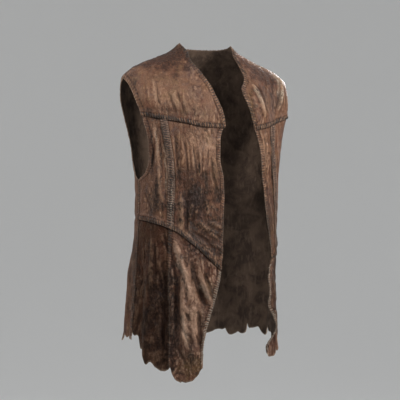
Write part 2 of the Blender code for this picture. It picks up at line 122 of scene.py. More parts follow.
ARMHOLE_BACK = scaled((
    (-62, 90), (-80, 101), (-125, 109), (-175, 112), (-227, 113), (-262, 112.5), (-298, 109.5),
    (-328, 102), (-345, 90),
), MM, DEGREE)
SIDE_SEAM = each_scaled({
    RIGHT: (
        (-345, 90), (-600, 89), (-930, 88),
    ),
    LEFT: (
        (-345, 90), (-600, 93), (-930, 95),
    ),
}, MM, DEGREE)

# Lines across the garment: pairs of angle and height
YOKE_SEAM = each_scaled({
    RIGHT: (
        (0, -203), (21, -199), (32, -189), (45, -181), (60, -171), (90, -162),
    ),
    LEFT: (
        (14, -206), (22, -203), (34, -192), (48, -176), (60, -165), (90, -156),
    ),
}, DEGREE, MM)
WAIST_SEAM = each_scaled({
    RIGHT: (
        (0, -604), (6.6, -587), (22.5, -536), (33, -506), (41, -485), (65, -460), (90, -452),
    ),
    LEFT: (
        (20, -615), (40, -592), (50, -570), (60, -535), (75, -490), (96, -452),
    ),
}, DEGREE, MM)
HEM = each_scaled({
    RIGHT: (
        (18, -842), (21, -855), (23.5, -870), (27.5, -886), (34, -892), (39, -885),
        (44.5, -858), (51.5, -862), (56, -852), (60, -838), (64, -846), (70, -812), (76, -803),
        (82, -772), (90, -782),
    ),
    LEFT: (
        (34, -812), (38, -838), (44, -840), (52, -822), (60, -800), (67, -812), (78, -790),
        (96, -782),
    ),
}, DEGREE, MM)
BACK_TAILS = scaled((
    (95, 0), (102, 16), (112, -6), (124, 14), (136, 22), (147, 2), (160, 18), (171, 10),
    (182, 28), (193, 6), (206, 20), (219, 14), (230, -4), (242, 17), (253, 3), (262, 10),
    (272, 0),
), DEGREE, MM)

# Folds: the line's two ends (angle and height), width, rise, and 1 where it runs out at the hem
FOLDS = scaled((
    (-62, -30, -52, -215, 20, 4, 0), (-45, -20, -38, -230, 22, -4.5, 0),
    (-30, -30, -27, -240, 24, 4.5, 0), (-20, -230, -30, -470, 26, 5, 0),
    (-34, -240, -40, -450, 20, -4, 0), (-12, -400, -36, -480, 18, -4, 0),
    (-58, -280, -60, -520, 20, 5, 0), (-4, -560, -26, -640, 20, -5, 0),
    (-36, -500, -23, -860, 30, 8, 1), (-10, -600, -17, -760, 20, 6, 0),
    (-50, -540, -52, -900, 26, -13, 1), (-63, -480, -63, -880, 26, 10, 1),
    (-78, -500, -76, -860, 24, -10, 1), (24, -50, 31, -210, 20, 6, 0),
    (40, -40, 44, -230, 22, -4.5, 0), (62, -40, 55, -230, 22, 4.5, 0),
    (48, -240, 58, -480, 24, 5, 0), (72, -330, 70, -560, 24, -5, 0),
    (40, -560, 60, -620, 18, -5, 0), (50, -600, 52, -880, 22, 7, 1),
    (70, -520, 73, -880, 26, -10, 1), (118, -140, 140, -330, 26, 5, 0),
    (242, -140, 222, -350, 26, 5.5, 0), (150, -60, 158, -300, 26, -4.5, 0),
    (208, -60, 200, -320, 26, -4.5, 0), (120, -400, 172, -470, 22, -5.5, 0),
    (240, -420, 192, -490, 22, -5.5, 0), (102, -500, 100, -880, 26, 11, 1),
    (118, -520, 117, -880, 26, -12, 1), (135, -480, 133, -880, 28, 12, 1),
    (152, -540, 150, -880, 26, -11, 1), (169, -500, 168, -880, 28, 10, 1),
    (187, -560, 186, -880, 26, -12, 1), (204, -480, 205, -880, 28, 13, 1),
    (222, -530, 224, -880, 26, -11, 1), (239, -500, 241, -880, 26, 11, 1),
    (256, -540, 257, -880, 24, -11, 1),
), *LINE, MM, MM, 1.0)
FOLD_FADE = 0.35            # share of a fold's length over which it fades at each end
TAIL_GROWTH = 3.0           # power by which the tatters behind grow towards the hem

# Creases, placed one by one. Each is a soft trough (negative rise) or ridge along a line, with its
# bow sideways, width and rise. Its flanks swing a little the other way.
CREASES = scaled((
    # right yoke, gathered towards its seam
    (-57, -70, -57.5, -160, 4, 5, -1.1), (-52, -85, -52.5, -165, -2, 4, -0.7),
    (-45.5, -70, -46.5, -172, -3, 5.5, -1.6), (-41.5, -110, -42, -176, 2, 3.5, -0.8),
    (-39.5, -90, -36.5, -178, 3, 5.5, -1.6), (-35, -120, -33.5, -180, 0, 3.5, -0.7),
    (-32.5, -92, -29.5, -184, -2, 5, -1.5), (-27, -125, -25.5, -188, 1, 4, -0.7),
    (-22.5, -80, -20.5, -150, 2, 5.5, -0.8), (-18, -130, -17, -192, 1, 4, -0.7),
    (-49.5, -60, -49.5, -150, 0, 6, 1), (-29, -50, -40, -20, 4, 8, -0.7),
    (-20, -60, -33, -55, 4, 7, -0.5), (-9.5, -132, -6, -176, 1, 3.5, -1),
    (-12.5, -148, -8.5, -188, 1, 3.5, -0.7),
    # right side front
    (-57, -180, -55, -440, -4, 7.5, 2.4), (-52, -190, -66, -335, -3, 6, -2),
    (-61, -200, -60, -330, 3, 5, 1.4), (-51.5, -270, -51, -440, 1, 4.5, -1.4),
    (-70, -350, -58, -430, 4, 6, -1.6), (-80, -370, -62, -450, 4, 7, -1.8),
    # right centre front
    (-40.5, -205, -40, -350, -3, 4, -1.8), (-37.5, -200, -36.5, -310, 3, 5.5, 1.2),
    (-34.5, -230, -33, -345, 2, 4, -1.7), (-31, -215, -29.5, -330, -1, 3.5, -0.9),
    (-28.5, -230, -25, -360, -2, 4, -1.8), (-25, -205, -24.5, -290, 2, 6, 1),
    (-22, -250, -23, -350, 1, 3.5, -1.3), (-18, -220, -18.5, -320, 2, 3.5, -1),
    (-15.5, -270, -12.5, -360, -2, 4.5, -1.6), (-11, -240, -10.5, -330, 1, 4, -0.9),
    (-38.6, -375, -37.2, -500, 3, 8.5, 4.8), (-25.5, -400, -29, -480, -3, 5.5, -2),
    (-33.6, -395, -33, -500, 2, 7, -3.4), (-20, -390, -16, -450, 2, 7, 1.8),
    (-14, -330, -8.5, -410, 2, 5, -1.6), (-4, -482, -18, -462, -4, 7.5, 2.6),
    (-3.5, -512, -18, -484, -3, 5, -2.4), (-4.5, -538, -16, -520, -2, 6, 1.8),
    (-5, -556, -15, -536, -2, 4.5, -1.6), (-27, -455, -6.5, -512, 3, 10, 5),
    (-28, -485, -8, -545, 3, 8, -3.6), (-6, -590, -19, -556, -4, 5, -2.2),
    # right skirt
    (-44.5, -480, -28, -700, 4, 14, 9.5), (-40, -550, -30.5, -690, 3, 7, -4),
    (-31, -540, -18, -710, 3, 12, -8), (-25, -580, -13, -710, 3, 9, 8.5),
    (-29, -670, -25, -800, -4, 10, 6), (-23.5, -690, -22, -820, 2, 8, -5),
    (-33, -600, -30, -650, 1, 4, -1.6), (-34.5, -690, -28.5, -745, 2, 4.5, -2.2),
    (-32, -715, -25.5, -775, 2, 4.5, 2), (-27.5, -750, -21.5, -800, 2, 5, -2.4),
    (-37, -745, -29, -815, 2, 5, 2.4), (-39.5, -790, -31, -855, 2, 5.5, -2.8),
    (-45.5, -575, -40, -640, 2, 5, 2.2), (-53, -480, -47, -560, 3, 6, -2.2),
    (-57, -560, -50, -650, 3, 6, 2.4), (-55, -660, -47, -750, 3, 6.5, -2.8),
    (-60, -720, -52, -800, 3, 6.5, 2.6), (-19.5, -590, -12.5, -660, 2, 5, -2.6),
    (-41, -570, -38.5, -790, 3, 12, -8), (-36.6, -630, -31.5, -830, 3, 13, 7.5),
    (-11.5, -640, -15, -740, 3, 6, -2.2), (-38.5, -540, -39.5, -680, 6, 7, -2.2),
    (-35, -680, -38, -740, 4, 6, -2), (-38.5, -725, -30, -800, 5, 5.5, -2.2),
    (-30.5, -760, -22.5, -850, 2, 6, -2), (-25, -660, -24, -790, -4, 6, 1.8),
    (-29.5, -640, -30.5, -740, 2, 4.5, -1.2), (-21, -700, -20.5, -790, 2, 4.5, 1.4),
    (-35.5, -830, -41, -880, 3, 5, -2), (-42, -830, -42.5, -868, 1, 4, -2),
    (-48, -560, -47, -700, 3, 6, 1.8), (-48, -720, -46.5, -800, -2, 5.5, 1.6),
    (-52, -700, -50, -830, 2, 6, -2.2), (-61, -500, -58, -640, 3, 6, -2.6),
    (-66, -480, -60, -700, 3, 6.5, 2.2), (-73, -500, -71, -700, -3, 6.5, -2),
    # left yoke
    (21.2, -65, 28.8, -178, 1, 6, 4.6), (25, -75, 30.5, -180, 2, 4.5, -1.4),
    (17, -80, 22.5, -180, -2, 5, -1.3), (42, -50, 35.5, -168, 4, 5, -1.4),
    (37, -45, 28.5, -120, 2, 4.5, -1), (59.5, -28, 44, -160, 1, 6.5, 5),
    (47, -60, 40.5, -165, 3, 4.5, -1), (60, -60, 55, -155, -2, 5.5, -1.2),
    # left front and skirt
    (25, -205, 33.5, -340, 2, 6, 1.8), (29, -205, 36.5, -345, -2, 4.5, -1.6),
    (44.5, -190, 55.5, -350, -2, 5.5, 1.8), (50, -190, 60, -330, 2, 5, -1.6),
    (33, -330, 42, -440, 2, 5, -1.6), (40, -390, 52, -520, 3, 6, 1.8),
    (56, -380, 66, -540, -3, 6.5, -2.2), (75, -380, 62, -470, 4, 7, -2),
    (52, -600, 57, -760, 3, 6, -2), (47, -580, 49, -700, 2, 5.5, 1.8),
    (64, -540, 66, -740, -3, 7, 2.6), (80, -500, 78, -720, 4, 7, -2.2),
    # back: shoulders, waist and skirt
    (112, -70, 122, -220, 6, 15.2, -2), (122, -50, 134, -240, 4, 13.3, 1.6),
    (140, -20, 148, -200, -5, 15.2, -1.6), (248, -70, 238, -230, -6, 15.2, -2),
    (236, -50, 224, -220, -3, 13.3, 1.6), (218, -30, 212, -230, 5, 15.2, -1.6),
    (165, 0, 170, -160, 6, 17.1, -1.3), (190, -10, 186, -190, -4, 15.2, -1.4),
    (100, -370, 132, -450, 8, 15.2, -2.3), (98, -420, 140, -490, 6, 13.3, -1.8),
    (260, -370, 230, -440, -8, 15.2, -2.3), (264, -430, 222, -500, -6, 13.3, -1.8),
    (144, -405, 174, -462, 6, 18.1, -1.4), (213, -420, 186, -492, -6, 17.1, -1.4),
    (126, -520, 124, -740, 6, 15.2, -2.3), (143, -560, 141, -780, -4, 13.3, 2),
    (160, -520, 161, -720, 5, 15.2, -2.2), (178, -560, 176, -780, -6, 13.3, 2),
    (196, -540, 197, -760, 4, 15.2, -2.3), (213, -520, 215, -750, -4, 13.3, -2),
    (232, -560, 232, -780, 5, 15.2, 2.2), (248, -520, 249, -760, -4, 13.3, -2.2),
), *LINE, MM, MM, MM)
CREASE_FADE = 0.30          # share of a crease's length over which it fades at each end
FLANK = 0.55                # how strongly a crease's flanks swing the other way
CREASE_NARROW = 0.80
CREASE_SOFTNESS = 1.6
CREASE_GAIN = 1.10

# Stained and rubbed places, from the right yoke round to the back: the patches' angle, height,
# reach across and down and strength, and the streaks' line, width and strength. The dark ones are
# dark stains and also painted shade: over the right yoke's top, on the skirts' shaded side and
# along creases. The pale ones are rubbed places and also painted highlight on lit folds and
# ridges.
PATCHES = each_scaled({
    "rust": (
        (-55, -15, 110, 45, 1), (-9, -160, 10, 30, 0.7), (-22, -470, 90, 110, 0.8),
        (-40, -560, 50, 60, 0.6), (-24, -780, 20, 50, 0.5), (-56, -510, 20, 30, 0.8),
        (36, -40, 60, 60, 1), (44, -70, 16, 40, 0.5), (19, -130, 20, 60, 0.8),
        (42, -790, 40, 40, 0.8), (130, -40, 70, 40, 0.6), (226, -40, 70, 40, 0.6),
        (172, -260, 120, 120, 0.45), (262, -790, 40, 30, 0.8),
    ),
    "dark": (
        (-50, 0, 170, 66, 1), (-58.5, -160, 12, 12, 0.9), (-50, -176, 45, 7, 0.7),
        (-40, -160, 130, 26, 0.55), (-70, -80, 14, 18, 0.6), (-65, -270, 14, 100, 0.55),
        (-49, -230, 10, 60, 0.3), (-62, -400, 35, 60, 0.45), (-29, -385, 30, 40, 0.5),
        (-9, -375, 10, 45, 0.75), (-30, -450, 14, 50, 0.45), (-20, -480, 85, 100, 0.9),
        (-62, -400, 50, 70, 0.35), (-28, -360, 75, 75, 0.55), (-10, -545, 22, 18, 0.6),
        (-14.5, -650, 20, 40, 0.55), (-31, -830, 30, 40, 0.5), (-45, -700, 30, 150, 1),
        (-40.5, -790, 18, 60, 0.4), (-55, -690, 44, 170, 0.8), (-70, -690, 34, 160, 0.5),
        (40, -40, 70, 65, 0.85), (33, -120, 30, 50, 0.45), (18, -140, 14, 55, 0.6),
        (47, -130, 20, 40, 0.45), (56, -680, 60, 120, 0.8), (40, -470, 40, 90, 0.45),
        (62, -380, 20, 120, 0.6), (160, -400, 90, 40, 0.5), (186, -760, 30, 60, 0.55),
        (256, -640, 50, 170, 0.6), (266, -680, 40, 160, 0.5), (100, -660, 50, 170, 0.6),
        (225, -420, 50, 50, 0.35), (180, 10, 140, 40, 0.45),
    ),
    "pale": (
        (-44, -110, 50, 45, 0.55), (-26, -150, 35, 30, 0.25), (-12, -170, 25, 30, 0.15),
        (-56, -300, 8, 110, 0.55), (-24, -250, 60, 50, 0.45), (-12, -285, 15, 45, 0.45),
        (-15, -418, 16, 14, 0.75), (-14, -470, 30, 24, 0.25), (-31, -620, 28, 80, 0.5),
        (-27, -740, 26, 80, 0.45), (-52, -840, 14, 30, 0.45), (58, -50, 10, 30, 1),
        (54, -70, 14, 40, 1), (28, -260, 26, 50, 0.45), (35, -385, 8, 8, 1),
        (180, -130, 80, 60, 0.45), (140, -180, 40, 70, 0.4), (170, -600, 30, 90, 0.5),
        (204, -640, 24, 110, 0.55),
    ),
    "plum": (
        (-20, -45, 18, 35, 0.8), (-22, -110, 22, 25, 0.55), (-28, -395, 26, 34, 1),
        (-31, -440, 10, 16, 0.8), (34, -165, 16, 22, 0.9), (40, -120, 18, 30, 0.7),
        (40, -420, 40, 70, 0.6), (205, -200, 40, 50, 0.55), (132, -560, 30, 60, 0.6),
    ),
    "ochre": (
        (-12, -340, 14, 40, 0.6), (-34, -490, 20, 14, 0.6), (-15, -640, 18, 30, 0.7),
        (-25, -845, 40, 34, 0.8), (17.5, -140, 12, 60, 0.8), (44, -480, 30, 60, 0.5),
        (196, -330, 50, 50, 0.45), (150, -770, 70, 35, 0.6), (224, -780, 60, 35, 0.6),
    ),
}, DEGREE, MM, MM, MM, 1.0)
STREAKS = each_scaled({
    "dark": (
        (-57, -95, -58.5, -166, 4, 0.42), (-45.5, -85, -46.3, -172, 3.5, 0.25),
        (-42, -110, -42.6, -174, 3, 0.22), (-37.5, -105, -36.5, -176, 3, 0.22),
        (-30.2, -115, -30.8, -180, 3.5, 0.22), (-24.5, -120, -24, -186, 3, 0.3),
        (-15, -120, -13.5, -190, 3, 0.3), (-48.6, -185, -48.9, -270, 4.5, 0.35),
        (-52, -200, -55.5, -373, 3.4, 0.8), (-58.3, -190, -64.5, -340, 4.5, 0.8),
        (-60.1, -300, -58.1, -440, 5, 0.7), (-39.5, -200, -39.5, -390, 5, 0.75),
        (-24.8, -255, -24.4, -335, 3.2, 0.7), (-14.4, -280, -11.8, -370, 3.5, 0.65),
        (-20.6, -305, -18.6, -400, 6, 0.7), (-33, -400, -31.5, -500, 6, 0.7),
        (-16, -478, -3.5, -506, 4.5, 0.8), (-14, -525, -5, -548, 4.5, 0.7),
        (-30.5, -560, -19.5, -680, 6.5, 0.9), (-38.8, -560, -30.5, -660, 5, 0.7),
        (-40.3, -600, -38.3, -760, 7, 0.9), (-18.8, -680, -20.8, -800, 6.5, 0.7),
        (-30.5, -740, -27, -850, 6, 0.7), (-61.9, -520, -56.5, -760, 8, 0.8),
        (26.5, -90, 31.5, -170, 3.5, 0.55), (47, -35, 34.6, -135, 4, 0.4),
        (55, -50, 41, -150, 4, 0.45), (35.7, -195, 45.5, -400, 4.5, 0.9),
        (36.9, -430, 44.4, -560, 10, 0.8),
    ),
    "pale": (
        (-61.7, -80, -60.4, -145, 5, 0.45), (-48.5, -90, -48, -160, 4.5, 0.5),
        (-34.6, -95, -34.9, -166, 4.5, 0.5), (-22.9, -100, -20.3, -172, 6, 0.6),
        (-50.8, -230, -50.5, -400, 3.8, 1), (-54.9, -180, -57.5, -310, 6, 0.9),
        (-66, -330, -63.5, -440, 6, 0.6), (-27.8, -210, -28.2, -330, 4.5, 0.8),
        (-17.2, -200, -16.5, -270, 4.5, 0.8), (-38.6, -385, -37.4, -490, 6.5, 1),
        (-24, -462, -7, -510, 6.5, 0.85), (-63, -452, -44, -469, 3.2, 0.9),
        (-44, -466, -24, -519, 3, 1), (-27, -508, -4, -575, 3, 1),
        (-43.3, -510, -33.5, -610, 6, 1), (-34.5, -590, -29, -680, 7.5, 0.9),
        (-23.5, -600, -14.4, -682, 4.8, 1), (-36.3, -660, -31.7, -800, 8, 0.8),
        (-26.8, -670, -24.7, -780, 7, 0.6), (-63.9, -540, -61.3, -690, 3.2, 0.8),
        (21.2, -68, 28.8, -170, 4.5, 1), (59.5, -30, 44.2, -155, 5, 1),
        (26.8, -195, 39, -372, 5, 0.7),
    ),
    # Rubbed through, and painted whitish sheen along lit ridges, as on the left yoke
    "worn_and_sheen": (
        (60.5, -20, 48, -130, 6, 0.75), (56, -30, 45, -110, 4, 0.6),
        (22, -80, 27.5, -150, 2.8, 0.5), (-43.3, -520, -33, -620, 3.2, 0.45),
        (-22.5, -620, -15, -680, 3, 0.55), (-34, -700, -31.5, -800, 4, 0.4),
        (-55.5, -200, -57, -290, 3, 0.4), (-50.8, -240, -50.5, -390, 1.8, 0.6),
        (-45.3, -330, -45.4, -495, 1.6, 1),
    ),
    "rust": (
        (35.5, -30, 26, -110, 6, 1), (51, -20, 31.1, -120, 9, 1),
    ),
    "plum": (
        (43, -60, 36, -150, 8, 0.8),
    ),
}, *LINE, MM, 1.0)
STREAK_FADE = 0.28
# Kinds kept on the points: stains, the dark kind partly painted shade, the pale kind partly
# painted highlight
STAIN_AND_LIGHT_KINDS = ("dark", "pale", "ochre", "plum", "rust")
WORN_AND_SHEEN = "worn_and_sheen"               # rubbed through to the pale core, as the edges are, and painted sheen on lit ridges, as on the left yoke

# Tears in the hem: angle, how far each goes up, and half its width
TEARS = scaled((
    (-88, 16, 4), (-79, 10, 5), (-70.5, 24, 4.2), (-43.5, 10, 3), (-34.5, 4, 3.6), (48, 12, 4),
    (63, 20, 4.2), (73, 9, 5), (85, 15, 4), (97, 20, 5.6), (108, 9, 7), (119.5, 26, 5.6),
    (131, 8, 8), (141, 14, 5.6), (163.5, 22, 6), (172, 7, 7.5), (189, 12, 5.6), (199, 28, 6),
    (214, 10, 7.5), (226.5, 18, 5.6), (237, 30, 6), (247, 16, 5.6), (256, 34, 5.6),
    (264, 20, 6),
), DEGREE, MM, MM)
TEAR_REACH = 0.050          # how far above the hem a tear still draws the lattice up

# Steps of the fine lattices
Steps = namedtuple("Steps", "centre side yoke margin chest under skirt")
STEPS = {
    RIGHT: Steps(80, 52, 98, 6, 88, 60, 170),
    LEFT: Steps(44, 56, 96, 6, 88, 60, 160),
}
STRAP_STEPS = 6
BACK_ACROSS_SHOULDER = 48
BACK_ACROSS_NECK = 48
BACK_UP = 100
BACK_ROWS = 190             # rows of the back below the underarm
PATH_POINTS = 240
SETTLING_ROUNDS = 30
NORMAL_TURN = 0.5
NORMAL_RISE = 0.001


def smooth(table, at, column=1):
    """Read a column of a table at the places given, by cubic steps that never overshoot."""
    data = table[np.argsort(table[:, 0])].T
    places, values = data[0], data[column]
    width = np.diff(places)
    slope = np.diff(values) / width
    turn = np.zeros_like(places)
    same_way = slope[:-1] * slope[1:] > 0.0
    mean = 2.0 * slope[:-1] * slope[1:] / np.where(same_way, slope[:-1] + slope[1:], 1.0)
    turn[1:-1] = np.where(same_way, mean, 0.0)
    turn[0], turn[-1] = slope[0], slope[-1]
    at = np.clip(at, places[0], places[-1])
    cell = np.clip(np.searchsorted(places, at) - 1, 0, len(width) - 1)
    t = (at - places[cell]) / width[cell]
    start = (1.0 + 2.0 * t) * (1.0 - t) ** 2 * values[cell]
    end = t ** 2 * (3.0 - 2.0 * t) * values[cell + 1]
    lean = t * (1.0 - t) ** 2 * turn[cell] - t ** 2 * (1.0 - t) * turn[cell + 1]
    return start + end + lean * width[cell]


def soft_step(t):
    """Zero below 0, one above 1, and a smooth rise between them."""
    t = np.clip(t, 0.0, 1.0)
    return t * t * (3.0 - 2.0 * t)


def bell(distance, width, power=2.0):
    """One at no distance, falling to nothing over about twice the width."""
    return np.exp(-np.abs(distance / width) ** power)


def turn_between(angle, other=0.0):
    """Degrees from one angle to another, the shorter way round."""
    return (angle - other + 180.0) % 360.0 - 180.0


def arc_between(angle, other):
    """Distance round the body from one angle to another."""
    return np.radians(turn_between(angle, other)) * BODY_RADIUS


def along_line(line, angle, height, bow=0.0):
    """Share of the way along a line on the garment, and the distance aside from it."""
    top_angle, top_height, low_angle, low_height = line
    across = np.radians(low_angle - top_angle) * BODY_RADIUS
    down = low_height - top_height
    length = math.hypot(across, down)
    u = arc_between(angle, top_angle)
    v = height - top_height
    along = (u * across + v * down) / length ** 2
    aside = (v * across - u * down) / length
    return along, aside - bow * 4.0 * along * (1.0 - along)


def faded_ends(along, fade):
    """One in the middle of a line, falling softly to zero at both its ends."""
    return soft_step(along / fade) * soft_step((1.0 - along) / fade)


def fold_height(angle, height):
    """Sum of the folds: a bell across each one, fading towards its ends."""
    total = np.zeros_like(angle)
    for *line, width, rise, runs_out in FOLDS:
        along, aside = along_line(line, angle, height)
        fade = np.clip(along / FOLD_FADE, 0.0, 1.0)
        if not runs_out:
            fade = fade * np.clip((1.0 - along) / FOLD_FADE, 0.0, 1.0)
        total += rise * soft_step(fade) * bell(aside, width)
    return total


def crease_height(angle, height):
    """Sum of the creases: across each a bell whose flanks swing back, faded at both ends."""
    total = np.zeros_like(angle)
    for *line, bow, width, rise in CREASES:
        along, aside = along_line(line, angle, height, bow)
        q = aside / (width * CREASE_NARROW)
        shape = (1.0 - FLANK * q * q) * np.exp(-q * q / CREASE_SOFTNESS)
        total += CREASE_GAIN * rise * faded_ends(along, CREASE_FADE) * shape
    return total


def ring_point(angle, height):
    """A point of the plain garment: a rounded ring whose size depends on the height."""
    half_width, front, back, side_shift, back_shift, power = (
        smooth(SECTIONS, height, column) for column in range(1, 7)
    )
    sine, cosine = np.sin(np.radians(angle)), np.cos(np.radians(angle))
    reach = (np.abs(sine) ** power + np.abs(cosine) ** power) ** (-1.0 / power)
    depth = np.where(cosine >= 0.0, front, back)
    x = side_shift + half_width * reach * sine
    y = back_shift - depth * reach * cosine
    return np.stack([x, y, height + 0.0 * angle], axis=-1)


def unit(vectors, axis=-1):
    """The vectors at length one."""
    return vectors / np.maximum(np.linalg.norm(vectors, axis=axis, keepdims=True), 1e-12)


def outward(point, angle, height):
    """Unit normals of a surface given as a function of angle and height."""
    sideways = point(angle + NORMAL_TURN, height) - point(angle - NORMAL_TURN, height)
    upward = point(angle, height + NORMAL_RISE) - point(angle, height - NORMAL_RISE)
    return unit(np.cross(sideways, upward))


def cloth_point(angle, height):
    """A point of the folded garment's inner face."""
    push = fold_height(angle, height)
    return ring_point(angle, height) + outward(ring_point, angle, height) * push[..., None]


NOISE_CELLS = 24
NOISE_APART = 5.37          # cells between the places that two following seeds start from
NOISE = np.random.default_rng(11).random((NOISE_CELLS, NOISE_CELLS, NOISE_CELLS))


def noise(points, cell, seed=0.0):
    """Smooth random values from -1 to 1: one at each corner of boxes of the size given."""
    place = points / np.asarray(cell) + NOISE_APART * seed
    corner = np.floor(place).astype(int)
    t = soft_step(place - corner)
    total = np.zeros(points.shape[:-1])
    for number in range(8):
        step = np.array([number & 1, number >> 1 & 1, number >> 2 & 1])
        share = np.prod(np.where(step == 1, t, 1.0 - t), axis=-1)
        cells = (corner + step) % NOISE_CELLS
        total += share * NOISE[cells[..., 0], cells[..., 1], cells[..., 2]]
    return total * 2.0 - 1.0


def noises(points, parts):
    """A sum of noises, each given by its weight, its boxes and its seed."""
    return sum(weight * noise(points, cell, seed) for weight, cell, seed in parts)


def outer_angle(side, height):
    """The front's outer line: the armhole above the underarm, the side seam below it."""
    arm = smooth(ARMHOLE_FRONT, height)
    return np.where(height > UNDERARM_HEIGHT, arm, smooth(SIDE_SEAM[side], height))


def seam_column(side):
    """Index of the long seam's column in a front's lattice."""
    return STEPS[side].centre + STRAP_STEPS


def stretches_of(*parts):
    """The stretch that each step of a lattice lies in, and its share of the way through it."""
    number = np.concatenate([np.full(len(part), k) for k, part in enumerate(parts)])
    return number, np.concatenate(parts)


def even_shares(steps):
    """Shares from 0 to 1 in even steps."""
    return np.linspace(0.0, 1.0, steps + 1)


def column_angles(side, height):
    """Angles of a front's columns, from its front edge over the strap to its outer line."""
    strap = math.degrees(STRAP_HALF / BODY_RADIUS)
    seam = smooth(LONG_SEAM[side], height)
    steps = STEPS[side]
    half = even_shares(STRAP_STEPS)[1:]
    number, share = stretches_of(even_shares(steps.centre), half, half,
                                 even_shares(steps.side)[1:])
    marks = np.stack([smooth(FRONT_EDGE[side], height), seam - strap, seam, seam + strap,
                      outer_angle(side, height)])
    column = np.arange(len(share))
    start = marks[number, :, column].T
    end = marks[number + 1, :, column].T
    return start + (end - start) * share


def level_heights(side, angle):
    """Heights of the front's level lines at the angles given, top to hem."""
    yoke = smooth(YOKE_SEAM[side], angle)
    waist = smooth(WAIST_SEAM[side], angle)
    return np.stack([yoke + LAP, yoke, waist + LAP, waist, smooth(HEM[side], angle)])


def front_lattice(side):
    """Angles and heights of the front below the yoke, and the row of each level line.

    Each row is a fixed share of the way between two level lines. Angles and heights depend on
    each other, so they are worked out in rounds, each time half way to the new value.
    """
    steps = STEPS[side]
    levels = level_heights(side, SIDE_SEAM[side][0][1])
    underarm = float((levels[1] - UNDERARM_HEIGHT) / (levels[1] - levels[2]))
    chest = np.linspace(0.0, underarm, steps.chest + 1)
    chest = np.concatenate([chest, np.linspace(underarm, 1.0, steps.under + 1)[1:]])
    margin = even_shares(steps.margin)
    stretches = (margin, chest[1:], margin[1:], even_shares(steps.skirt)[1:])
    number, share = stretches_of(*stretches)
    marks = [0] + list(np.cumsum([len(part) for part in stretches]) - 1)
    row = np.arange(len(number))
    height = np.full((len(number), seam_column(side) + STRAP_STEPS + steps.side + 1),
                     UNDERARM_HEIGHT)
    for _ in range(SETTLING_ROUNDS):
        angle = column_angles(side, height)
        levels = level_heights(side, angle)
        top, low = levels[number, row], levels[number + 1, row]
        height = (height + top + (low - top) * share[:, None]) / 2.0
    underarm_row = marks[1] + steps.chest
    height[underarm_row, -1] = UNDERARM_HEIGHT
    angle[underarm_row, -1] = 90.0
    return angle, height, marks, underarm_row


def seen_from_front(path):
    """Side position and height of each angle and height of a path."""
    return np.stack([ring_point(path[..., 0], path[..., 1])[..., 0], path[..., 1]], axis=-1)


def angle_at(place, behind):
    """The angle of the ring point with this side position and height, before or behind."""
    half_width, shift, power = (smooth(SECTIONS, place[..., 1], k) for k in (1, 4, 6))
    sine = np.clip((place[..., 0] - shift) / half_width, -1.0, 1.0)
    cosine = (1.0 - np.abs(sine) ** power) ** (1.0 / power)
    angle = np.degrees(np.arctan2(sine, -cosine if behind else cosine))
    return np.where(angle < 0.0, angle + 360.0, angle) if behind else angle


def run_of(points):
    """Distance from the first point of every line of points, along the first axis."""
    steps = np.linalg.norm(np.diff(points, axis=0), axis=-1)
    return np.concatenate([np.zeros_like(steps[:1]), np.cumsum(steps, axis=0)])


def even_steps(path, count):
    """Places at even steps along a path of angles and heights, measured on the garment."""
    run = run_of(ring_point(path[:, 0], path[:, 1]))
    wanted = np.linspace(0.0, run[-1], count)
    return np.stack([np.interp(wanted, run, path[:, k]) for k in range(2)], axis=1)


def four_sided(top, low, first, last, count, behind=False):
    """Angles and heights of a patch between four paths, blended as seen from the front.

    The blend adds the two ruled surfaces and takes the corners' own blend away again. Each
    column is then cut into even steps along the garment.
    """
    top, low, first, last = (seen_from_front(path) for path in (top, low, first, last))
    t = even_shares(len(first) - 1)[:, None, None]
    s = even_shares(len(top) - 1)[None, :, None]
    ruled = (1.0 - t) * top[None] + t * low[None]
    sides = (1.0 - s) * first[:, None] + s * last[:, None]
    corners = (1.0 - s) * ((1.0 - t) * top[0] + t * low[0])
    corners = corners + s * ((1.0 - t) * top[-1] + t * low[-1])
    place = ruled + sides - corners
    patch = np.stack([angle_at(place, behind), place[..., 1]], axis=-1)
    return np.stack([even_steps(column, count) for column in patch.swapaxes(0, 1)], axis=1)


def down_path(table, start, end):
    """A line down the garment from a start height to an end height, closer at its start."""
    height = start + (end - start) * np.linspace(0.0, 1.0, PATH_POINTS) ** 2
    return np.stack([smooth(table, height), height], axis=1)


def shoulder_path(count):
    """The shoulder seam from neck to tip, at the side of the rings."""
    height = np.linspace(NECK_HEIGHT, TIP_HEIGHT, PATH_POINTS)
    return even_steps(np.stack([90.0 + 0.0 * height, height], axis=1), count)


def other_side(path):
    """The same path on the back's other half."""
    return path * (-1.0, 1.0) + (360.0, 0.0)


def yoke_lattice(side, angle, height):
    """The front yoke: a patch above its sewn margin, and the margin's own rows."""
    margin = STEPS[side].margin
    low = np.stack([angle[0], height[0]], axis=1)
    first = down_path(FRONT_EDGE[side], NECK_HEIGHT, height[0, 0])
    last = down_path(ARMHOLE_FRONT, TIP_HEIGHT, height[0, -1])
    patch = four_sided(shoulder_path(angle.shape[1]), low, first, last, STEPS[side].yoke + 1)
    return (np.concatenate([patch[..., 0], angle[1:margin + 1]]),
            np.concatenate([patch[..., 1], height[1:margin + 1]]))


